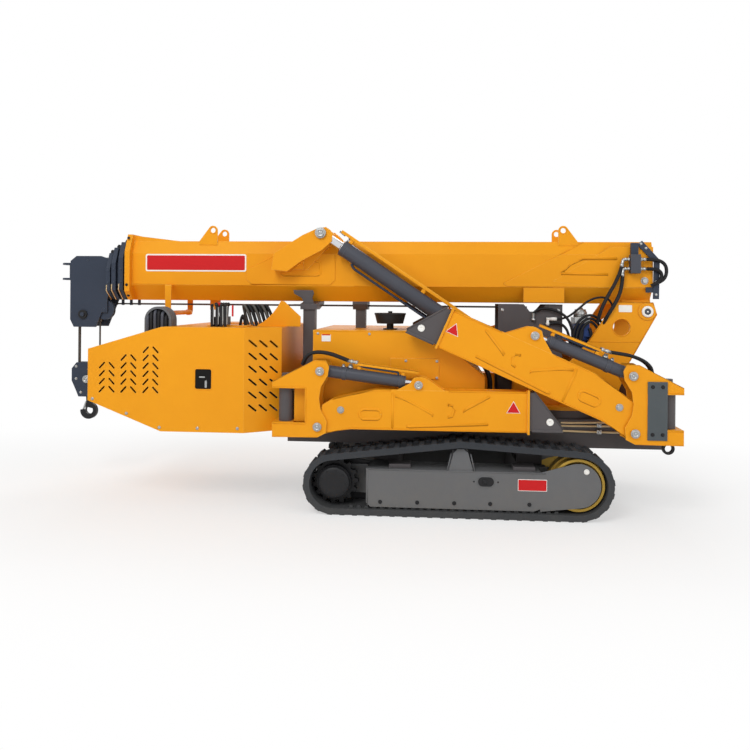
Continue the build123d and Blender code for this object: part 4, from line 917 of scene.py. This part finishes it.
def cylinder_trim(name, post, kind):
    """Pipe guard, pipes, fittings and hoses of a cylinder, drawn along its axis from the bracket's pin."""
    angle, ear_x, ear_z = LEGS[kind]
    c, s = cos(radians(angle)), sin(radians(angle))
    x = LEG_PIVOT[0] + ear_x * c - ear_z * s - CYLINDER_PIVOT[0]
    z = LEG_PIVOT[1] + ear_x * s + ear_z * c - CYLINDER_PIVOT[1]
    length = hypot(x, z)
    place = post @ turned(atan2(z, x), *CYLINDER_PIVOT)
    body = f"{name}_cylinder"
    rail = Build(f"{name}_pipe_guard", body, "yellow", place)
    rail.box((232, length - 12), (-24, 24), (84, 90))
    for y in (-24, 19):
        rail.box((232, length - 12), (y, y + 5), (70, 90))
    for x in (250, length - 130):
        rail.box((x, x + 24), (-14, 14), (42, 86))
    rail.emit()
    for i, y in enumerate((-10, 12)):
        pipe(f"{name}_pipe_{i}", body, "slate",
             [(length - 150, y, 44), (length - 150, y, 60), (length - 180, y, 62), (330, y, 62), (270, y, 66),
              (236, y * 1.4, 84)], 7, place)
    fittings = Build(f"{name}_pipe_fittings", body, "steel", place)
    for i, y in enumerate((-16, 16)):
        fittings.round((248, y, 88), (-1, 0, 0.06),
                       ((0, 14), (16, 14), (18, 10), (34, 10), (36, 14), (50, 14), (52, 11), (74, 12)), 10)
        pipe(f"{name}_hose_{i}", body, "hose",
             [(180, y, 93), (126, y * 1.2, 106), (40, y * 1.4, 126), (-62, y * 1.5, 124), (-128, y * 1.6, 84),
              (-140, y * 1.6, 20)], 12, place)
    fittings.round((200, 0, 42), UP, ((0, 20), (14, 20), (16, 14), (30, 14)), 12)
    fittings.round((150, 0, 42), UP, ((0, 14), (10, 14), (12, 9), (22, 9)), 12).emit()


# ---- camera, floor and light

CAMERA_PLACE = (0.690, -5.65, 1.489)
CAMERA_YAW = radians(4.36)
CAMERA_ROLL = 0.0082
CAMERA_LENS = 34.31
CAMERA_SHIFT = (-0.0093, -0.1)
FLOOR_COLOUR = (0.98, 0.98, 0.975, 1)
FLOOR_FADE = (1.2, 3.2)
WORLD_LIGHT = 0.55
# Per lamp: place and aim in metres, size and power
LAMPS = {
    "key": ((-2.0, -6.5, 6.5), (0.2, 0, 0.9), 3.5, 285),
    "fill": ((5.5, -5.0, 3.0), (0.6, 0, 0.9), 4.0, 62),
    "back": ((0.5, 6.0, 6.0), (0, 0, 1.0), 5.0, 200),
}


def make_camera():
    data = bpy.data.cameras.new("camera")
    data.lens = CAMERA_LENS
    data.sensor_width = 36
    data.shift_x, data.shift_y = CAMERA_SHIFT
    camera = bpy.data.objects.new("camera", data)
    camera.matrix_world = (Matrix.Translation(CAMERA_PLACE) @ Matrix.Rotation(CAMERA_YAW, 4, "Z")
                           @ Matrix.Rotation(pi / 2, 4, "X") @ Matrix.Rotation(CAMERA_ROLL, 4, "Z"))
    scene.collection.objects.link(camera)
    scene.camera = camera


def seen_ray(tree):
    """1 for what the camera sees straight, mirrored or through glass, and 0 for the light on the object."""
    path = node_of(tree, "ShaderNodeLightPath")
    value = path.outputs["Is Camera Ray"]
    for kind in ("Is Glossy Ray", "Is Transmission Ray"):
        either = node_of(tree, "ShaderNodeMath", operation="MAXIMUM")
        tree.links.new(value, either.inputs[0])
        tree.links.new(path.outputs[kind], either.inputs[1])
        value = either.outputs["Value"]
    return value


def shaders_mixed(tree, share, a, b):
    node = node_of(tree, "ShaderNodeMixShader")
    for value, socket in zip((share, a, b), node.inputs):
        tree.links.new(value, socket)
    return node.outputs["Shader"]


def floor_material():
    """White floor that keeps the object's soft shadow near it and fades to plain white away from it."""
    material = bpy.data.materials.new("floor")
    material.use_nodes = True
    tree = material.node_tree
    link = tree.links.new
    shader = tree.nodes["Principled BSDF"]
    put(shader, Base_Color=FLOOR_COLOUR, Roughness=0.9, Specular_IOR_Level=0.0)
    place = node_of(tree, "ShaderNodeTexCoord")
    squash = node_of(tree, "ShaderNodeVectorMath", operation="MULTIPLY")
    squash.inputs[1].default_value = (0.55, 1.0, 1.0)
    link(place.outputs["Object"], squash.inputs[0])
    distance = node_of(tree, "ShaderNodeVectorMath", operation="LENGTH")
    link(squash.outputs["Vector"], distance.inputs[0])
    away = ranged(tree, distance.outputs["Value"], *FLOOR_FADE, low=0.5, interpolation_type="SMOOTHSTEP")
    glow = node_of(tree, "ShaderNodeEmission", Color=(1, 1, 1, 1), Strength=1.0)
    mix = shaders_mixed(tree, times(tree, seen_ray(tree), away), shader.outputs["BSDF"], glow.outputs["Emission"])
    link(mix, tree.nodes["Material Output"].inputs["Surface"])
    return material


def make_world():
    """Plain light on the object, and white where the camera sees past it."""
    world = bpy.data.worlds.new("world")
    scene.world = world
    world.use_nodes = True
    tree = world.node_tree
    tree.nodes.clear()
    light = node_of(tree, "ShaderNodeBackground", Color=(1, 1, 1, 1), Strength=WORLD_LIGHT)
    seen = node_of(tree, "ShaderNodeBackground", Color=(1, 1, 1, 1), Strength=1.0)
    mix = shaders_mixed(tree, seen_ray(tree), light.outputs["Background"], seen.outputs["Background"])
    tree.links.new(mix, node_of(tree, "ShaderNodeOutputWorld").inputs["Surface"])


def make_stage():
    """Floor, world and lamps."""
    bpy.ops.mesh.primitive_plane_add(size=60, location=(0, 0, 0))
    floor = bpy.context.object
    floor.name = "floor"
    floor.data.materials.append(floor_material())
    make_world()
    for name, (place, aim, size, power) in LAMPS.items():
        data = bpy.data.lights.new(name, "AREA")
        data.energy, data.size = power, size
        lamp = bpy.data.objects.new(name, data)
        lamp.location = place
        lamp.rotation_mode = "QUATERNION"
        lamp.rotation_quaternion = (Vector(aim) - Vector(place)).to_track_quat("-Z", "Y")
        scene.collection.objects.link(lamp)


# ---- the whole scene

for side in ("near", "far"):
    for dress in (track, track_frame, drive, chassis_trim, cover_trim, hood_trim, boom_side, turret_side,
                  lift_cylinder):
        dress(side)
for dress in (cover_top, valve_trim, tail_valve, boom_top, rope_guide, hoist_rope, head_and_hook, slew_ring_trim,
              winch_trim, slew_drive_trim):
    dress()
for section, x0, x1 in ((2, -1806, -1770), (3, -1874, -1840), (4, -1926, -1896)):
    collar(section, x0, x1)
for number, (end, side, kind) in OUTRIGGERS.items():
    name, post = f"outrigger_{number}", corner(end, side)
    leg_trim(name, post @ turned(radians(LEGS[kind][0]), *LEG_PIVOT), kind)
    bracket_trim(name, post, end)
    cylinder_trim(name, post, kind)

make_camera()
make_stage()
scene.view_settings.view_transform = "Standard"
